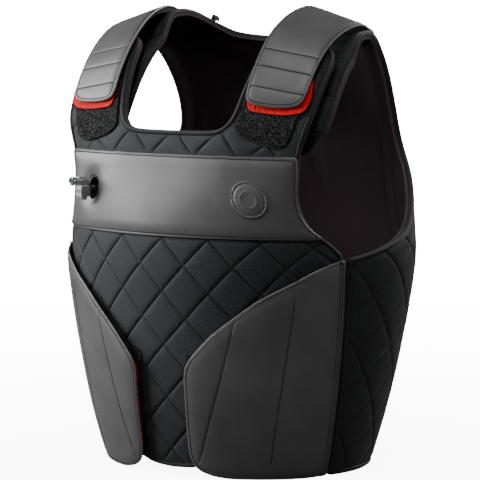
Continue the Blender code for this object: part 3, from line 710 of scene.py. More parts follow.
def build_looks():
    look = Look("quilt", (0.0125, 0.0134, 0.0150), 0.62, **{"Sheen Weight": 0.08, "Specular IOR Level": 0.25})
    look.tint(look.noise(1000, 4), 0.25, 2.7, (0.34, 0.70))
    look.bump(look.mix(look.wave(70, 0.0), look.wave(70, pi / 2)), 0.35, 0.0004)
    look.bump(look.noise(2400, 2), 0.5, 0.0003)

    # Light grey of the leather's cut edges: partly the raw edge's own colour, partly a painted highlight along the
    # edges.
    look = Look("raw_edge_and_highlight", (0.50, 0.50, 0.50), 0.5)
    look.tint(look.noise(700, 3), 0.6, 1.3)
    look.bump(look.noise(1500, 2), 0.4, 0.0003)

    look = Look("leather", (0.090, 0.089, 0.092), 0.43, **{"Specular IOR Level": 0.5})
    look.tint(look.noise(22, 4), 0.85, 1.18)
    look.rough(look.noise(60, 3), 0.38, 0.49)
    look.bump(look.cells(1500), 0.10, 0.0003)
    look.bump(look.noise(260, 3), 0.06, 0.0008)

    look = Look("mesh", (0.0140, 0.0066, 0.0086), 0.80, **{"Sheen Weight": 0.02, "Specular IOR Level": 0.10})
    look.tint(look.wave(26, pi / 4, 0.4), 0.6, 1.35)
    look.bump(look.wave(26, pi / 4, 0.4), 0.5, 0.0005)
    look.bump(look.cells(1100), 0.5, 0.0004)

    look = Look("piping", (0.085, 0.064, 0.060), 0.85, **{"Specular IOR Level": 0.15})
    look.tint(look.noise(1100, 3), 0.4, 1.8)
    look.bump(look.wave(55, pi / 3), 0.6, 0.0005)

    look = Look("thread", (0.008, 0.008, 0.0085), 0.30)
    look.tint(look.noise(1500, 2), 0.6, 1.6)
    look.bump(look.noise(3000, 1), 0.5, 0.0002)

    look = Look("tape", (0.0105, 0.0110, 0.0120), 0.75, **{"Sheen Weight": 0.10})
    look.tint(look.noise(1300, 3), 0.55, 1.6)
    look.bump(look.wave(60, pi / 2), 0.5, 0.0004)

    look = Look("hook", (0.86, 0.006, 0.010), 0.75, **{"Specular IOR Level": 0.2})
    look.tint(look.noise(1300, 3), 0.6, 1.2)
    look.bump(look.cells(1300), 0.9, 0.0008)

    look = Look("loop", (0.024, 0.025, 0.025), 0.95, **{"Specular IOR Level": 0.15})
    look.tint(look.noise(680, 3), 0.06, 3.0, (0.46, 0.68))
    look.bump(look.noise(900, 4), 0.8, 0.0012)

    look = Look("backing", (0.011, 0.011, 0.012), 0.80, **{"Specular IOR Level": 0.25})
    look.tint(look.noise(800, 3), 0.7, 1.4)
    look.bump(look.wave(50, pi / 4), 0.3, 0.0003)

    look = Look("foam", (0.060, 0.060, 0.065), 0.95)
    look.tint(look.noise(300, 3), 0.8, 1.2)
    look.bump(look.cells(500), 0.6, 0.0006)

    look = Look("bladder", (0.180, 0.185, 0.190), 0.40)
    look.tint(look.noise(40, 3), 0.9, 1.1)
    look.bump(look.noise(120, 3), 0.3, 0.0008)

    look = Look("plastic", (0.010, 0.010, 0.011), 0.38)
    look.rough(look.noise(200, 3), 0.30, 0.50)
    look.bump(look.noise(1600, 2), 0.1, 0.0002)

    look = Look("gunmetal", (0.60, 0.61, 0.62), 0.27, 1.0)
    look.tint(look.noise(90, 3), 0.8, 1.15)
    look.rough(look.noise(350, 3), 0.24, 0.38)

    look = Look("steel", (0.62, 0.64, 0.66), 0.20, 1.0)
    look.tint(look.noise(120, 3), 0.9, 1.05)
    look.rough(look.noise(500, 3), 0.14, 0.30)


# ---------------------------------------------------------------- panels

FRONT_PHASE = (1.5, 199.0)
BACK_PHASE = (0.0, 168.0)
TONGUE_START = RIDGE + 25
QUILT_TICKS = (0, 1.0, 2.4, 5.2, 9.2, 14.2, 20.15, 26.1, 31.1, 35.1, 37.9, 39.3)


def front_loop():
    """Outline of the front panel, on the front's chart."""
    hem = np.concatenate([at([(0, 7.5), (28, 9.5), (52, 16.5), (95, 17)]), seam([16]) - (0.5, 0)])
    side = seam((16, 70, 130, 190, 243)) - (0.5, 0)
    armhole = np.concatenate([side[-1:], at([
        (172, 254), (159, 267), (151, 285), (148, 307), (149, 342),
        (153.5, 360), (158, 377), (160.5, 397), (161.5, 425), (161, 446)])])
    tab = at([(161, 446), (155, 454), (140, 459), (104, 467), (92, 466), (84, 458)])
    neck = at([(84, 458), (79, 425), (75, 400), (71, 384), (62, 373), (45, 369.5), (0, 369)])
    return outline(FRONT, hem, side, armhole, tab, neck, mirror=True)


def tongue_points(points):
    """(angle, w), on the back's angles, of the front points at each x and z."""
    x = np.array(points, float)[:, 0]
    return np.stack([angle_at(x, CHEST, False), 2 * RIDGE - at(points)[:, 1]], -1)


def rear_loop():
    """Outline of the back panel with its sides and shoulder tongues, on the back's chart."""
    hem = np.concatenate([[(180, 0), (150, 0), (120, 0), (90, 0)], seam([0]) + (0.5, 0)])
    side = seam((0, 60, 120, 180, 240)) + (0.5, 0)
    armhole = np.concatenate([side[-1:], [(78, 248), (90, 267), (99, 291)],
                              at([(174, 318), (153, 352), (148, 385), (149, 420), (152, 452)], False)])
    ridge = [(angle_at(np.array(x), CHEST, False).item(), RIDGE) for x in (163, 82)]
    outer = np.concatenate([armhole[-1:], ridge[:1], tongue_points([
        (168, 455), (171, 425), (171, 395), (166, 366), (160, 352)])])
    end = tongue_points([(160, 352), (149, 342), (104, 342), (94, 350)])
    inner = np.concatenate([tongue_points([(94, 350), (88, 400), (84, 460)]), ridge[1:], at([(80, 489)], False)])
    neck = np.concatenate([inner[-1:], at([(73, 479), (60, 471), (31, 467), (0, 466)], False)])
    return outline(BACK, hem, side, armhole, outer, end, inner, neck, mirror=True)


def rear_base(flat):
    """Height of the back panel's outer face: its tongues dive under the front tabs."""
    return -TONGUE_DROP * ease((flat[:, 1] - DIVE_START) / DIVE_RUN)


def front_base(flat):
    """Height of the front panel's outer face, which is the body surface itself."""
    return np.zeros(len(flat))


def rear_thickness(flat):
    """Thickness of the back panel, which thins into its tongues."""
    return PANEL + (TONGUE - PANEL) * ease((flat[:, 1] - THIN_START) / THIN_RUN)


def front_thickness(flat):
    """Thickness of the front panel."""
    return np.full(len(flat), PANEL)


def puffs(flat, phase):
    """Quilting relief from 0 in the stitch lines to 1 in the middle of each square."""
    across = (flat - phase) @ np.array([[1, -1], [1, 1]]) / sqrt(2)
    gap = np.abs((across + QUILT / 2) % QUILT - QUILT / 2)
    rise = 1 - (1 - gap / (QUILT / 2)) ** PUFF_POWER
    return rise[:, 0] * rise[:, 1] - PUFF_CREASE * np.exp(-((gap.min(axis=1) / CREASE_WIDE) ** 2))


def channels(flat, lines):
    """Relief of the straight channels sewn across the shoulder tongues."""
    gap = np.min([distance(flat, line, False) for line in lines], axis=0)
    rise = 1 - (1 - np.minimum(gap / (QUILT / 2), 1)) ** CHANNEL_POWER
    return rise - CHANNEL_CREASE * np.exp(-((gap / CREASE_WIDE) ** 2))


def quilted(base, phase, pressed, across):
    """Height function of a quilted face that lies flat beneath the pieces sewn on it."""
    def height(flat, edge):
        loft = puffs(flat, phase)
        if across:
            loft = np.where(flat[:, 1] > TONGUE_START, channels(flat, across), loft)
        loft = QUILT_RISE * loft * ease((edge - COVER_EDGE) / COVER_RISE)
        for loop, reach in pressed:
            loft = loft * ease(outside(flat, loop) / reach)
        return base(flat) + QUILT_LOW + loft * (1 + 0.12 * roughly(flat, 31))
    return height


def inner_face(base, thickness, folds=None):
    """Height function of a panel's inner face, which tapers towards its edge."""
    def height(flat, edge):
        deep = thickness(flat)
        thin = (deep - EDGE_THICK) * (1 - ease((edge + 1) / TAPER))
        return base(flat) - deep + thin + (folds(flat) * ease((edge - 4) / 18) if folds else 0)
    return height


def quilt_rows(loop, phase, blocked):
    """Stitch rows along the quilting lines inside a loop and outside the pieces sewn on it."""
    rows = []
    for sign in (1, -1):
        run = np.array((sign, 1)) / sqrt(2)
        step = np.array((-1, sign)) / sqrt(2)
        local = (loop - phase) @ np.stack([step, run], -1)
        for k in range(floor(local[:, 0].min() / QUILT), ceil(local[:, 0].max() / QUILT) + 1):
            reach = np.arange(local[:, 1].min(), local[:, 1].max(), QUILT_PITCH)
            centres = phase + step * k * QUILT + run[None, :] * reach[:, None]
            keep = inside(centres, loop) & (distance(centres, loop) > 2)
            for other in blocked:
                keep &= outside(centres, other) > 1.0
            rows.append((centres[keep], np.repeat(run[None, :], keep.sum(), 0)))
    return rows


BINDING = ((5.4, -2.9), (5.0, -2.1), (4.2, -1.1), (2.9, -0.6), (1.5, -1.0), (0.6, -2.0), (0.1, -3.4), (0.2, -5.2),
           (0.9, -6.6), (3.0, -6.2), (4.8, -4.4))
PIPING = (1.9, -8.1, 1.6)


def bead(gap, height, radius, sides=8):
    """Round profile of a cord."""
    return [(gap + radius * cos(-tau * k / sides), height + radius * sin(-tau * k / sides)) for k in range(sides)]


def build_panel(side, chart, loop, base, thickness, phase, pressed, folds, holes=(), across=()):
    """One padded panel: quilted cover, bound edge, foam and lining."""
    skin = inset(loop, BIND_WIDE - 0.4)
    grid = lattice(skin, QUILT, QUILT_TICKS, pi / 4, phase)
    surface = quilted(base, phase, pressed, across)
    cover = shell(f"{side}_quilt", chart, skin, surface, lambda flat, edge: surface(flat, edge) - QUILT_SKIN, "quilt",
                  top_grid=grid, bottom_grid=lattice(skin, QUILT, QUILT_TICKS[::2], pi / 4, phase), holes=holes,
                  lines=across, replaces=[f"{side}_cover"])

    sweep(f"{side}_binding", chart, loop, BINDING[::-1], "quilt", base)
    sweep(f"{side}_piping", chart, loop, bead(*PIPING)[::-1], "piping", base)

    rows = quilt_rows(skin, phase, [other for other, _ in pressed])
    if across:
        rows = [(centres[centres[:, 1] < TONGUE_START], ahead[centres[:, 1] < TONGUE_START]) for centres, ahead in rows]
        rows += [row_along(line, PITCH) for line in across]
        rows = [(centres[keep], ahead[keep]) for centres, ahead in rows for keep in [inside(centres, skin)]]
    stitches(f"{side}_quilt_thread", chart, rows, lambda flat: surface(flat, distance(flat, skin)) + QUILT_THREAD,
             length=2.0, radius=0.48)
    stitches(f"{side}_binding_thread", chart, [row_along(inset(loop, BIND_WIDE + 0.6), PITCH, True)],
             lambda flat: surface(flat, distance(flat, skin)) + BINDING_THREAD)

    core = inset(loop, CORE_INSET)
    inner = inner_face(base, thickness)
    foam = shell(f"{side}_foam_core", chart, core,
                 lambda flat, edge: base(flat) + FOAM_TOP * ease(thickness(flat) / PANEL),
                 lambda flat, edge: np.minimum(inner(flat, edge + CORE_INSET) + FOAM_GAP, base(flat) + FOAM_LOW),
                 "foam", top_grid=lattice(core, FOAM_GRID), holes=[inset(hole[::-1], -3)[::-1] for hole in holes],
                 replaces=[f"{side}_foam"])
    lining_loop = inset(loop, LINER_INSET)
    creased = inner_face(base, thickness, folds)
    shell(f"{side}_liner", chart, lining_loop, lambda flat, edge: inner(flat, edge + LINER_INSET) + LINER_THICK,
          lambda flat, edge: creased(flat, edge + LINER_INSET), "mesh", bottom_grid=lattice(lining_loop, LINER_GRID),
          top_grid=lattice(lining_loop, COARSE_GRID), replaces=[f"{side}_lining"])


def crease(flat, start, end, width, deep):
    """A fold along a line that fades at its ends."""
    start, end = np.array(start, float), np.array(end, float)
    run = end - start
    t = (flat - start) @ run / (run @ run)
    off = ((flat - start) @ np.array((-run[1], run[0]))) / np.linalg.norm(run)
    off = off + 3 * np.sin(t * 5 + start[0])
    fade = ease((t + 0.1) / 0.35) * ease((1.1 - t) / 0.35)
    return deep * fade * np.exp(-((off / width) ** 2))


# Folds of the lining: start, end, width, depth.
ARM_FOLDS = (((-150, 380), (-212, 215), 5, 5.0), ((-168, 360), (-245, 200), 6, -3.0),
             ((-130, 400), (-170, 190), 6, 3.5), ((-200, 250), (-285, 150), 7, 3.0))
NECK_FOLDS = (((58, 455), (22, 330), 6, 3.0), ((10, 452), (-18, 300), 7, 2.5))


def rear_folds(flat):
    """Folds of the loose lining behind the arms and under the neck."""
    made = 0.5 * roughly(flat, 26, 2.0)
    for mirror in (1, -1):
        side = flat * (mirror, 1)
        for fold in ARM_FOLDS:
            made = made + crease(side, *fold)
    for fold in NECK_FOLDS:
        made = made + crease(flat, *fold)
    return made


def front_folds(flat):
    """Unevenness and one soft fold of the front panel's lining."""
    return 0.5 * roughly(flat, 30, 5.0) + crease(flat, (-60, 350), (-20, 120), 8, 2.0)


# ---------------------------------------------------------------- chest band and badge

def band_loop():
    """Outline of the chest band."""
    edge = at([(167.5, BAND_LOW + 1.5), (157.5, 268.5), (149.5, 285), (146.5, 307), (147.5, BAND_HIGH)])
    low = np.concatenate([at(straight((0, BAND_LOW), (160, BAND_LOW))), edge[:1]])
    high = at(straight((147.5, BAND_HIGH), (0, BAND_HIGH)))
    return outline(FRONT, low, edge, high, mirror=True, corners=2)


def oval(centre, wide, tall, sides=48):
    """Counterclockwise oval about a flat point."""
    turn = tau * np.arange(sides) / sides
    return centre + np.stack([wide / 2 * np.cos(turn), tall / 2 * np.sin(turn)], -1)


def groove(gap, deep=0.3, wide=0.65):
    """Dent of a row of stitches at a distance from it."""
    return deep * np.exp(-((gap / wide) ** 2)) + 0.45 * deep * np.exp(-((gap / 3.2) ** 2))


def build_band(port):
    """Leather chest band with the valve's port in it, and the badge."""
    loop = band_loop()
    hole = oval(port, PORT_WIDE - 1.5, PORT_TALL - 1.0)

    def top(flat, edge):
        near = np.maximum(outside(flat, hole), 0)
        made = 0.9 + 1.7 * ease(edge / 12) - groove(edge - SEWN)
        return made + 0.2 * roughly(flat, 60, 1.0) * ease(edge / 20) - 2.0 * np.exp(-((near / 11) ** 1.6))

    # The band's cut edge is light grey: partly raw edge colour, partly a painted highlight.
    shell("chest_leather", FRONT, loop, top, flat_at(-1.7), "leather", top_grid=lattice(loop, LEATHER_GRID),
          rings=LEATHER_RINGS, round_off=0.6, holes=[hole], edge_and_highlight_look="raw_edge_and_highlight", replaces=["chest_band"])
    stitches("chest_thread", FRONT, [row_along(inset(loop, SEWN), PITCH, True)],
             lambda flat: top(flat, distance(flat, loop)) + LEATHER_THREAD)
    build_badge()


BADGE = 41
BADGE_RINGS = (0.4, 1.0, 1.8, 2.6, 3.2, 3.8, 4.5, 5.4, 7.5, 9.8, 10.8, 11.5, 12.2, 13.2, 16)


def build_badge():
    """Plain round badge: a raised disc with a stepped rim."""
    centre = FRONT.flat(at([(101, 298)]))[0]
    disc = oval(centre, BADGE, BADGE, 64)

    def face(flat, edge):
        rim = 1.0 * ease(edge / 1.2) - 1.1 * np.exp(-(((edge - 3.6) / 0.8) ** 2))
        ring_out = 0.7 * np.exp(-(((edge - 11.5) / 1.0) ** 2))
        return BAND_TOP - 0.1 + rim + ring_out

    shell("badge_disc", FRONT, disc, face, flat_at(BAND_TOP - 1.4), "leather", top_grid=lattice(disc, 60.0),
          rings=BADGE_RINGS, round_off=0.5, replaces=["badge"])


# ---------------------------------------------------------------- straps

def strap_loop():
    """Outline of a shoulder strap, from the front tab over the ridge."""
    hem = at([(85.5, 405), (88, 399), (95, 395.5), (110, 393), (126, 392), (140, 393), (147.5, 397), (150.5, 406)])
    ridge = np.stack([angle_at([158.0, 92.0], CHEST), (RIDGE, RIDGE)], -1)
    end = over([(x, STRAP_TAIL_Y) for x in STRAP_END])
    outer = np.concatenate([hem[-1:], at([(151.5, 435), (152.5, 455), (155, 468)]), ridge[:1], end[:1]])
    inner = np.concatenate([end[-1:], ridge[1:], at([(88, 482), (86, 466), (85.5, 440), (85.5, 405)])])
    return outline(FRONT, hem, outer, end, inner, spacing=2.0, corners=3)


def hook_loop():
    """Outline of a strap's hook tape, which shows past the leather."""
    low, out = 392 - HOOK_SHOW, 151 + HOOK_SHOW - 1
    hem = at([(87, low + 14), (89, low + 7), (96, low + 3), (126, low), (143, low + 1), (out - 4, low + 5),
              (out, low + 15)])
    outer = np.concatenate([hem[-1:], at([(out - 2, 414), (150, 425), (147, 440), (148, 455)])])
    top = np.concatenate([outer[-1:], at([(120, 461), (88, 466)])])
    inner = np.concatenate([top[-1:], at([(87.5, 435)]), hem[:1]])
    return outline(FRONT, hem, outer, top, inner, spacing=2.0, corners=2)


def patch_loop():
    """Outline of a shoulder's pile patch."""
    hem = at([(78, 371), (92, 361), (122, 353), (132, 354), (138, 360)])
    outer = np.concatenate([hem[-1:], at([(145, 385), (147, 420), (147, 450)])])
    top = np.concatenate([outer[-1:], at([(120, 456), (91, 460)])])
    inner = np.concatenate([top[-1:], at([(87, 430), (82, 400)]), hem[:1]])
    return outline(FRONT, hem, outer, top, inner, spacing=2.0, corners=2)


PILE = 0.55


def furry(name, loop, low, high, look, seed, **settings):
    """Hook or loop tape: a sheet with a rough pile of seeded random heights."""
    def top(flat, edge):
        fibres = np.random.default_rng(seed).uniform(-1.0, 1.0, len(flat))
        return high + PILE * fibres * ease((edge + 0.8) / 2)
    shell(name, FRONT, loop, top, flat_at(low), look, top_grid=lattice(loop, PILE_GRID), **settings)


def sided(side):
    """Sign of a side, and what carries a loop of the left side over to it."""
    return (1, lambda loop: loop) if side == "left" else (-1, flipped)


def build_flap(body, loop, small, top, under, lining, lines, sewn, grid, rings, rounds, bend):
    """Leather, thread and lining of a flap."""
    # The flap's cut edge is light grey: partly raw edge colour, partly a painted highlight.
    leather = shell(f"{body}_skin", FRONT, loop, top, under, "leather", top_grid=lattice(loop, grid),
                    bottom_grid=lattice(loop, LEATHER_GRID), rings=rings, round_off=rounds[0], lines=lines,
                    edge_and_highlight_look="raw_edge_and_highlight", body=None, replaces=[f"{body}_leather"])
    thread = stitches(f"{body}_thread", FRONT, sewn, lambda flat: top(flat, distance(flat, loop)) + LEATHER_THREAD,
                      body=None)
    backing = shell(f"{body}_lining", FRONT, small, *lining, "backing", top_grid=lattice(small, LEATHER_GRID),
                    bottom_grid=lattice(small, LEATHER_GRID), rings=(0.5, 1.2), round_off=rounds[1], body=None,
                    replaces=[f"{body}_backing"])
    for piece in (leather, thread, backing):
        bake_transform(piece)


def strap_shadow():
    """Where a strap lies on the back panel, on the back's chart."""
    corners = over([(160, STRAP_TAIL_Y), (128, STRAP_TAIL_Y), (94, STRAP_TAIL_Y)])
    rear = np.stack([angle_at([160.0, 128.0, 94.0], CHEST, False), 2 * RIDGE - corners[:, 1]], -1)
    front = np.stack([angle_at([90.0, 128.0, 160.0], CHEST, False), (RIDGE + 40,) * 3], -1)
    loop = BACK.flat(np.concatenate([rear, front]))
    return loop if area(loop) > 0 else loop[::-1]


def tongue_rows(sign):
    """Rows of stitches straight across a tongue, on the back's chart."""
    rows = []
    for z in (376, 419, 462):
        w = 2 * RIDGE - at([(150, z)])[0, 1]
        rows.append(BACK.flat(np.stack([angle_at([86.0, 128.0, 172.0], CHEST, False), (w,) * 3], -1)) * (sign, 1))
    return rows


def strap_rows(loop):
    """Transverse stitch rows of a strap, as flat lines between its edges."""
    lines = []
    for inner, outer in (((87, 451), (150.5, 440)), ((87, 434.5), (149.5, 424)), ((87, 414), (149, 404))):
        line = curve(FRONT.flat(at([inner, outer])), 40)
        keep = inside(line, loop) & (distance(line, loop) > 2.5)
        lines.append(line[keep])
    return lines


def build_strap(side):
    """Shoulder strap with its hook tape, and the pile patch it closes on."""
    sign, mirrored = sided(side)
    body = f"strap_{side}"
    loop = mirrored(strap_loop())
    rows = [line * (sign, 1) for line in strap_rows(strap_loop())]

    def sunk(flat):
        """The strap comes down onto the back panel behind the front tab's patch."""
        return SUNK * ease((flat[:, 1] - STRAP_SINK) / STRAP_SINK_RUN)

    def top(flat, edge):
        made = STRAP_TOP - 1.3 + 0.9 * ease(edge / 9) - groove(edge - SEWN)
        for line in rows:
            made = made - groove(distance(flat, line, False), 0.45)
        return made + sunk(flat) + 0.2 * roughly(flat, 30, 3.0) * ease(edge / 10)

    lining = (lambda flat, edge: 4.8 + sunk(flat), lambda flat, edge: 2.6 - 4.1 * ease((flat[:, 1] - 522) / 36))
    sewn = [row_along(inset(loop, SEWN, 2.0), PITCH, True)] + [row_along(row, PITCH) for row in rows]
    hinge = FRONT.flat(over([(sign * 128, STRAP_TAIL_Y)]))
    build_flap(body, loop, inset(loop, 0.8, 2.0), top, lambda flat, edge: 4.9 + sunk(flat), lining, rows, sewn,
               3.0, LEATHER_RINGS[:-1], (0.6, 0.8), [FRONT.place(hinge - (0, run), 6.0)[0] for run in (0, 26)])
    furry(f"strap_{side}_hooks", mirrored(hook_loop()), 1.7, 2.5, "hook", 11, body=body,
          replaces=[f"strap_{side}_hook"])
    furry(f"shoulder_pile_{side}", mirrored(patch_loop()), -1.8, 0.6, "loop", 12,
          replaces=[f"loop_patch_{side}"])


# ---------------------------------------------------------------- wings

def wing_loop(side_line):
    """A wing's outline. Its back edge lies (level, degrees beyond the side seam) along the seam."""
    levels, beyond = np.array(side_line, float).T
    seam_side = seam(levels) + np.stack([beyond, 0 * beyond], -1)
    upper = np.concatenate([seam_side[-1:], at([
        (165, 229), (146, 216.5), (112, 196), (89, 178.5), (63.5, 157.5), (42, 135), (33, 122), (30.5, 110)])])
    nose = at([(30.5, 110), (30.5, 80), (30, 54), (30, 28), (35, 13), (48, 5), (66, 1.5)])
    foot = np.concatenate([nose[-1:], at([(100, 1)]), seam_side[:1]])
    return outline(FRONT, foot, seam_side, upper, nose, spacing=2.5, corners=2)


def wing_lift(flat):
    """How much more a wing stands off towards its front edge."""
    angle = np.abs(FRONT.angle(flat))
    return WING_RISE * ease((66 - angle) / 54)


WING_SEAMS = ([(87.7, 173.5), (66, 97), (40, 19)], [(145.5, 215), (126.6, 112), (103, 8)])
WING_HOOKS = ([(34.5, 30), (66, 30)], [(66, 30), (66, 126)], [(66, 126), (40, 121), (34.5, 108)],
              [(34.5, 108), (34.5, 30)])
WING_PATCH = ([(30, 26), (78, 26)], [(78, 26), (78, 134)], [(78, 134), (30, 134)], [(30, 134), (30, 26)])


def build_wing(side):
    """Side wing with its hook tape, and the pile patch it closes on."""
    sign, mirrored = sided(side)
    body = f"wing_{side}"
    loop = mirrored(wing_loop(LEATHER_SIDE))
    seam_line = FRONT.flat(seam(np.linspace(0, 242, 30)) - (0.3, 0)) * (sign, 1)
    panel_lines = [curve(FRONT.flat(at(points)), 16) * (sign, 1) for points in WING_SEAMS]

    def sunk(flat):
        """The leather drops onto the panel along the side seam."""
        return SUNK * (1 - ease(distance(flat, seam_line, False) / WING_SINK_RUN))

    def top(flat, edge):
        made = WING_TOP - 0.9 + 1.0 * ease(edge / 12) - groove(edge - SEWN)
        for line, deep in zip(panel_lines, (0.6, 0.4)):
            made = made - groove(distance(flat, line, False), deep)
        return made + wing_lift(flat) + sunk(flat) + 0.3 * roughly(flat, 55, 4.0) * ease(edge / 15)

    def under(flat, edge):
        return WING_TOP - 2.4 + wing_lift(flat) + sunk(flat)

    lining = (lambda flat, edge: under(flat, edge) - 0.15, lambda flat, edge: under(flat, edge) - 1.75)
    sewn = [row_along(inset(loop, SEWN, 2.5), PITCH, True), row_along(seam_line - (sign * WING_SECOND_ROW, 0), PITCH)]
    sewn += [row_along(row[4:-3], PITCH) for row in panel_lines]
    hinge = seam_line[14:15]
    build_flap(body, loop, inset(mirrored(wing_loop(LINING_SIDE)), 1.2, 2.5), top, under, lining, panel_lines,
               sewn, LEATHER_GRID, LEATHER_RINGS, (0.7, 0.6),
               [FRONT.place(hinge - (sign * run, 0), 4.0)[0] for run in (0, 30)])
    hooks, patch = (mirrored(outline(FRONT, *map(at, sides), spacing=2.0, corners=2))
                    for sides in (WING_HOOKS, WING_PATCH))
    furry(f"wing_{side}_hooks", hooks, 1.9, 3.0, "hook", 13, body=body, replaces=[f"wing_{side}_hook"])
    furry(f"belly_pile_{side}", patch, -1.8, 0.7, "loop", 14, replaces=[f"wing_patch_{side}"])


# ---------------------------------------------------------------- air valve

SPRING_FOOT, SPRING_TALL, SPRING_RADIUS, SPRING_WIRE, SPRING_TURNS = -5.0, 4.6, 2.6, 0.32, 4
BUTTON_OUT = 11
AXIS = -60  # an inset that reaches the axis, where the radius stops at AXIS_RADIUS
AXIS_RADIUS = 0.05
TURNED_SIDES, CUP_SIDES, ELBOW_SIDES, SPRING_SIDES = 40, 48, 36, 8

# Rings of (inset from the port's edge, reach outward) round the cup, and of (radius, reach) for the turned pieces.
CUP = ((AXIS, -CUP_DEPTH + CUP_WALL), (0, -CUP_DEPTH + CUP_WALL), (0, -2.4), (0.4, -1.9), (0.9, -1.9), (1.3, -2.2),
       (CUP_WALL, -2.8), (CUP_WALL, -CUP_DEPTH), (AXIS, -CUP_DEPTH))
FOOT = ((5.2, 0), (6.0, 0.6), (6.0, 9.0), (5.2, 9.6), (5.2, 10.6), (6.0, 11.2), (6.0, 14.2), (5.4, 14.8))
BUTTON = ((1.2, 0.35), (2.4, 0.0), (3.3, 0.25), (3.9, 1.3), (3.9, 3.4), (3.6, 3.7), (3.6, 4.3), (3.9, 4.6),
          (3.9, 7.2))
BORE = ((4.15, 0), (4.15, 15.0))
RIM = ((2.9, 0.0), (2.9, 0.35), (2.6, 0.55), (2.2, 0.55), (1.9, 0.3), (1.9, 0.0))
NOZZLE = ((3.9, 0.0), (4.6, 0.0), (4.8, 0.3), (4.8, 1.6), (4.5, 1.9), (4.5, 2.4), (4.8, 2.7), (4.8, 4.4),
          (4.5, 5.0), (4.1, 5.35), (3.3, 5.4), (2.6, 5.2), (2.4, 4.9), (2.5, 4.6), (3.9, 4.6))
BLOCK_SIDE, BLOCK_HIGH, BLOCK_OUT = 12.0, (-8.5, 2.5), (5.0, 17.0)
BLOCK_BEVEL = 0.9
ELBOW_RISE, ELBOW_BEND = 1.4, 3.4
ELBOW_FOOT = ((0, 0, 2.9, 0), (0, 0.5, 4.2, 0), (0, 0.9, 4.7, 0))  # reach, height, radius, turn
ELBOW_NECK = ((4.6, 4.8), (9.6, 4.8), (9.8, 4.5), (10.4, 4.5), (10.6, 4.8), (12.3, 4.8), (12.6, 4.3), (12.7, 3.6),
              (17.0, 3.6), (17.2, 3.3), (17.2, 2.3), (9.0, 2.2), (9.0, AXIS_RADIUS))  # reach, radius


def valve_frame():
    """Origin on the panel's face, outward, sideways and upward directions of the valve."""
    spot = at([(VALVE_X, VALVE_Z)])[0]
    out = normal(np.array(spot[0]), np.array(spot[1])).copy()
    out[2] = 0
    out /= np.linalg.norm(out)
    up = np.array((0.0, 0.0, 1.0))
    return torso(spot[0], spot[1]), out, np.cross(up, out), up


def turned(name, centre, axis, profile, look, hollow=False, **settings):
    """Piece turned round an axis from (radius, reach) rings, either hollow or shut at both ends."""
    start = (1.0, 0.0, 0.0) if abs(axis[2]) > 0.9 else (0.0, 0.0, 1.0)
    a = np.cross(axis, start)
    a /= np.linalg.norm(a)
    b = np.cross(axis, a)
    points = [centre + axis * reach + radius * (a * cos(turn) + b * sin(turn))
              for radius, reach in profile for turn in tau * np.arange(TURNED_SIDES) / TURNED_SIDES]
    return tube(name, points, TURNED_SIDES, look, closed=hollow, angle=METAL_EDGE, **settings)


def build_valve():
    """Port, foot, block, button, elbow and spring of the air valve."""
    port, out, side, up = valve_frame()

    def spot(outward, high=0.0, across=0.0):
        return port + out * outward + up * high + side * across

    points = []
    for wall, reach in CUP:
        wide, tall = (max(size / 2 + wall, AXIS_RADIUS) for size in (PORT_WIDE, PORT_TALL))
        points += [spot(reach, tall * sin(turn), wide * cos(turn)) for turn in tau * np.arange(CUP_SIDES) / CUP_SIDES]
    tube("valve_port", points, CUP_SIDES, "backing", angle=METAL_EDGE, slot="plastic", replaces=["valve_cup"])
    turned("valve_foot", spot(-10.2, -3), out, FOOT, "plastic", replaces=["valve_base"])
    build_block(spot, out, up)
    turned("valve_key", spot(BUTTON_OUT, -12.6), up, BUTTON, "gunmetal", body="valve_button",
           replaces=["valve_button"])
    build_elbow(spot, out, up)
    build_spring(spot, out, side, up)


def build_spring(spot, out, side, up):
    """Coil spring over the button."""
    steps, points = 20 * SPRING_TURNS, []
    for i in range(steps + 1):
        turn = tau * SPRING_TURNS * i / steps
        away = out * cos(turn) + side * sin(turn)
        middle = spot(BUTTON_OUT, SPRING_FOOT + SPRING_TALL * i / steps) + away * SPRING_RADIUS
        points += [middle + SPRING_WIRE * (away * cos(around) + up * sin(around))
                   for around in tau * np.arange(SPRING_SIDES) / SPRING_SIDES]
    coil = tube("valve_coil", points, SPRING_SIDES, "steel", replaces=["valve_spring"])
    top = spot(BUTTON_OUT, SPRING_FOOT + SPRING_TALL + SPRING_WIRE)
    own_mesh(coil)


def build_block(spot, out, up):
    """Square valve body with bevelled edges, a bored underside and a plain ring on its outer face."""
    bm = bmesh.new()
    low, high = BLOCK_HIGH
    corners = [(sx * BLOCK_SIDE / 2, z) for sx, z in ((-1, low), (1, low), (1, high), (-1, high))]
    near, far = ([bm.verts.new(spot(outward, z, x)) for x, z in corners] for outward in BLOCK_OUT)
    bm.faces.new(near)
    bm.faces.new(far)
    for i in range(4):
        j = (i + 1) % 4
        bm.faces.new((near[i], near[j], far[j], far[i]))
    bmesh.ops.recalc_face_normals(bm, faces=bm.faces)
    bmesh.ops.bevel(bm, geom=bm.edges[:], offset=BLOCK_BEVEL, segments=4, affect="EDGES")
    mesh = bpy.data.meshes.new("valve_body")
    bm.to_mesh(mesh)
    bm.free()
    points = [tuple(v.co) for v in mesh.vertices]
    faces = [tuple(p.vertices) for p in mesh.polygons]
    block = make("valve_body", points, faces, "gunmetal", angle=METAL_EDGE, replaces=["valve_block"])
    bore = turned("valve_bore", spot(BUTTON_OUT, -15), up, BORE, "gunmetal")
    cut = block.modifiers.new("bore", "BOOLEAN")
    cut.operation = "DIFFERENCE"
    cut.object = bore
    bpy.context.view_layer.update()
    graph = bpy.context.evaluated_depsgraph_get()
    block.data = bpy.data.meshes.new_from_object(block.evaluated_get(graph))
    block.modifiers.clear()
    bpy.data.objects.remove(bore)
    turned("valve_rim", spot(16.95, -3), out, RIM, "steel", hollow=True)


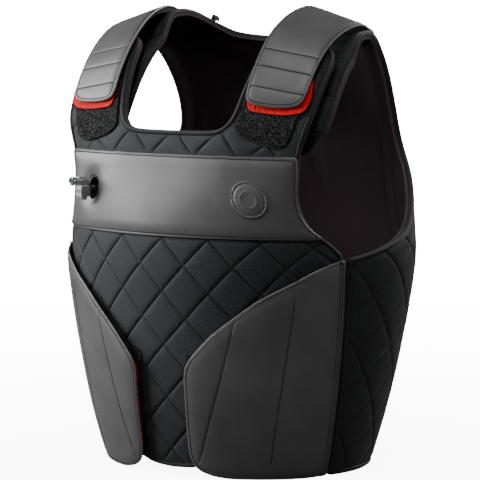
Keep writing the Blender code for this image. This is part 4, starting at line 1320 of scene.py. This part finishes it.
def build_elbow(spot, out, up):
    """Elbow that swivels on the block, and the mouthpiece that slides on its neck."""
    swivel = spot(9, 3.35)
    height = ELBOW_RISE + ELBOW_BEND
    bend = [(ELBOW_BEND * (1 - cos(radians(t))), ELBOW_RISE + ELBOW_BEND * sin(radians(t)), 4.8, t)
            for t in range(8, 90, 8)]
    across = np.cross(out, up)
    points = []
    for reach, high, radius, turn in (*ELBOW_FOOT, *bend, *((reach, height, r, 90) for reach, r in ELBOW_NECK)):
        run = out * sin(radians(turn)) + up * cos(radians(turn))
        lateral = np.cross(run, across)
        centre = swivel + out * reach + up * high
        points += [centre + radius * (across * cos(around) + lateral * sin(around))
                   for around in tau * np.arange(ELBOW_SIDES) / ELBOW_SIDES]
    tube("valve_tube", points, ELBOW_SIDES, "gunmetal", angle=METAL_EDGE, body="valve_elbow",
         replaces=["valve_elbow"])
    turned("valve_nozzle", swivel + up * height + out * 13.1, out, NOZZLE, "steel", hollow=True,
           body="valve_mouthpiece", replaces=["valve_mouthpiece"])


def build_hang_loop():
    """Webbing loop on the neck edge of the back panel."""
    spot = at([(-78, 480)], False)[0]
    tilt = normal(np.array(spot[0]), np.array(spot[1]))
    foot = torso(spot[0], spot[1]) + 0.6 * tilt
    run = np.array((0.8, -0.6, 0.0))
    width = np.cross(tilt, run)
    width /= np.linalg.norm(width)
    profile = [(0.55 * cos(t), 3.2 * sin(t)) for t in np.linspace(0, tau, 12, endpoint=False)]
    points = []
    for turn in pi * np.arange(29) / 28:
        middle = foot + run * 7 * cos(turn) + tilt * (0.4 + 8 * sin(turn))
        away = run * cos(turn) + tilt * sin(turn)
        points += [middle + away * a + width * b for a, b in profile]
    tube("hanging_tape", points, len(profile), "tape", replaces=["hang_loop"])


# ---------------------------------------------------------------- studio

CAMERA_TARGET = (0.0, 0.0, 0.2416)
CAMERA_AZIMUTH, CAMERA_ELEVATION = 35.3, 5.5
CAMERA_DISTANCE = 2.805
CAMERA_LENS = 191.25
CAMERA_SHIFT = 0.0011
LIGHT_TARGET = (0, 0, 0.3)
# Azimuth, elevation, distance, size and power of each lamp.
LAMPS = {
    "key": (-61, 18, 1.8, (1.3, 1.0), 57), "front": (12, 58, 2.2, (0.9, 0.8), 20),
    "side": (98, 24, 2.4, (0.5, 1.0), 10), "rear": (165, 32, 2.2, (1.4, 1.2), 34),
}
WORLD_LIGHT = 0.04
WORLD_SEEN = 20.0
FLOOR_GLOW = (8.0, 20.0)
FLOOR_FADE = 2.5
FLOOR_RADIUS = 30.0
FLOOR_LEVEL = -0.0004


def aimed(name, data, azimuth, elevation, away, target):
    """Object for a camera or lamp that looks at a target from an azimuth and elevation in degrees."""
    obj = bpy.data.objects.new(name, data)
    bpy.context.scene.collection.objects.link(obj)
    a, e = radians(azimuth), radians(elevation)
    toward = Vector((sin(a) * cos(e), -cos(a) * cos(e), sin(e)))
    obj.location = Vector(target) + toward * away
    obj.rotation_euler = (-toward).to_track_quat("-Z", "Y").to_euler()
    return obj


def build_camera():
    """Camera at the photo's angle."""
    camera = bpy.data.cameras.new("camera")
    camera.lens = CAMERA_LENS
    right = Vector((cos(radians(CAMERA_AZIMUTH)), sin(radians(CAMERA_AZIMUTH)), 0))
    bpy.context.scene.camera = aimed("camera", camera, CAMERA_AZIMUTH, CAMERA_ELEVATION, CAMERA_DISTANCE,
                                     Vector(CAMERA_TARGET) - right * CAMERA_SHIFT)


def area_light(name, azimuth, elevation, away, size, power):
    light = bpy.data.lights.new(name, "AREA")
    light.shape = "RECTANGLE"
    light.size, light.size_y = size
    light.energy = power
    aimed(name, light, azimuth, elevation, away, LIGHT_TARGET)


def path_mix(tree, seen, unseen):
    """Mixes two shaders: one that the camera sees and one that lights the scene."""
    path, blend = tree.nodes.new("ShaderNodeLightPath"), tree.nodes.new("ShaderNodeMixShader")
    tree.links.new(path.outputs["Is Camera Ray"], blend.inputs["Fac"])
    tree.links.new(unseen.outputs[0], blend.inputs[1])
    tree.links.new(seen.outputs[0], blend.inputs[2])
    return blend.outputs["Shader"]


def build_world():
    """White background that hardly lights the scene."""
    world = bpy.data.worlds.new("studio")
    world.use_nodes = True
    tree = world.node_tree
    glow, seen = tree.nodes["Background"], tree.nodes.new("ShaderNodeBackground")
    for node, strength in ((glow, WORLD_LIGHT), (seen, WORLD_SEEN)):
        node.inputs["Color"].default_value = (1, 1, 1, 1)
        node.inputs["Strength"].default_value = strength
    tree.links.new(path_mix(tree, seen, glow), tree.nodes["World Output"].inputs["Surface"])
    bpy.context.scene.world = world


def build_floor():
    """Pale round floor that fades into the white background."""
    look = bpy.data.materials.new("floor")
    look.use_nodes = True
    tree = look.node_tree
    pale, dim = tree.nodes["Principled BSDF"], tree.nodes.new("ShaderNodeBsdfDiffuse")
    pale.inputs["Base Color"].default_value = (0.92, 0.92, 0.92, 1)
    pale.inputs["Roughness"].default_value = 0.9
    pale.inputs["Emission Color"].default_value = (1, 1, 1, 1)
    place, run, fade = (tree.nodes.new("ShaderNode" + kind) for kind in ("TexCoord", "VectorMath", "MapRange"))
    run.operation = "LENGTH"
    for key, value in {"From Max": FLOOR_FADE, "To Min": FLOOR_GLOW[0], "To Max": FLOOR_GLOW[1]}.items():
        fade.inputs[key].default_value = value
    tree.links.new(place.outputs["Object"], run.inputs[0])
    tree.links.new(run.outputs["Value"], fade.inputs["Value"])
    tree.links.new(fade.outputs["Result"], pale.inputs["Emission Strength"])
    dim.inputs["Color"].default_value = (0.16, 0.16, 0.16, 1)
    tree.links.new(path_mix(tree, pale, dim), tree.nodes["Material Output"].inputs["Surface"])
    bpy.ops.mesh.primitive_circle_add(vertices=96, radius=FLOOR_RADIUS, fill_type="NGON",
                                      location=(0, 0, FLOOR_LEVEL))
    ground = bpy.context.object
    ground.name = "floor"
    ground.data.materials.append(look)


def build_studio():
    build_camera()
    for name, settings in LAMPS.items():
        area_light(name, *settings)
    build_world()
    build_floor()


# ---------------------------------------------------------------- assembly

def carried_over():
    """Procedural materials for the CAD nodes that stay."""
    for name, look in (("front_bladder", "bladder"), ("back_bladder", "bladder"), ("valve_stem", "steel")):
        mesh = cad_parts[name].data
        mesh.materials.clear()
        mesh.materials.append(LOOKS[look])


def main():
    """Builds the looks, the studio and every piece."""
    build_looks()
    build_studio()
    port = FRONT.flat(at([(VALVE_X, VALVE_Z)]))[0]
    hole = oval(port, PORT_WIDE + PORT_CLEAR, PORT_TALL + PORT_CLEAR)
    band, patch = band_loop(), patch_loop()
    shut = [(band, BAND_PRESS), (patch, PATCH_PRESS), (flipped(patch), PATCH_PRESS)]
    build_panel("front", FRONT, front_loop(), front_base, front_thickness, FRONT_PHASE, shut, front_folds, holes=[hole])
    shadow = strap_shadow()
    under_straps = [(shadow, PATCH_PRESS), (flipped(shadow), PATCH_PRESS)]
    build_panel("back", BACK, rear_loop(), rear_base, rear_thickness, BACK_PHASE, under_straps, rear_folds,
                across=[*tongue_rows(1), *tongue_rows(-1)])
    build_band(port)
    for side in ("left", "right"):
        build_strap(side)
        build_wing(side)
    build_valve()
    build_hang_loop()
    carried_over()


main()
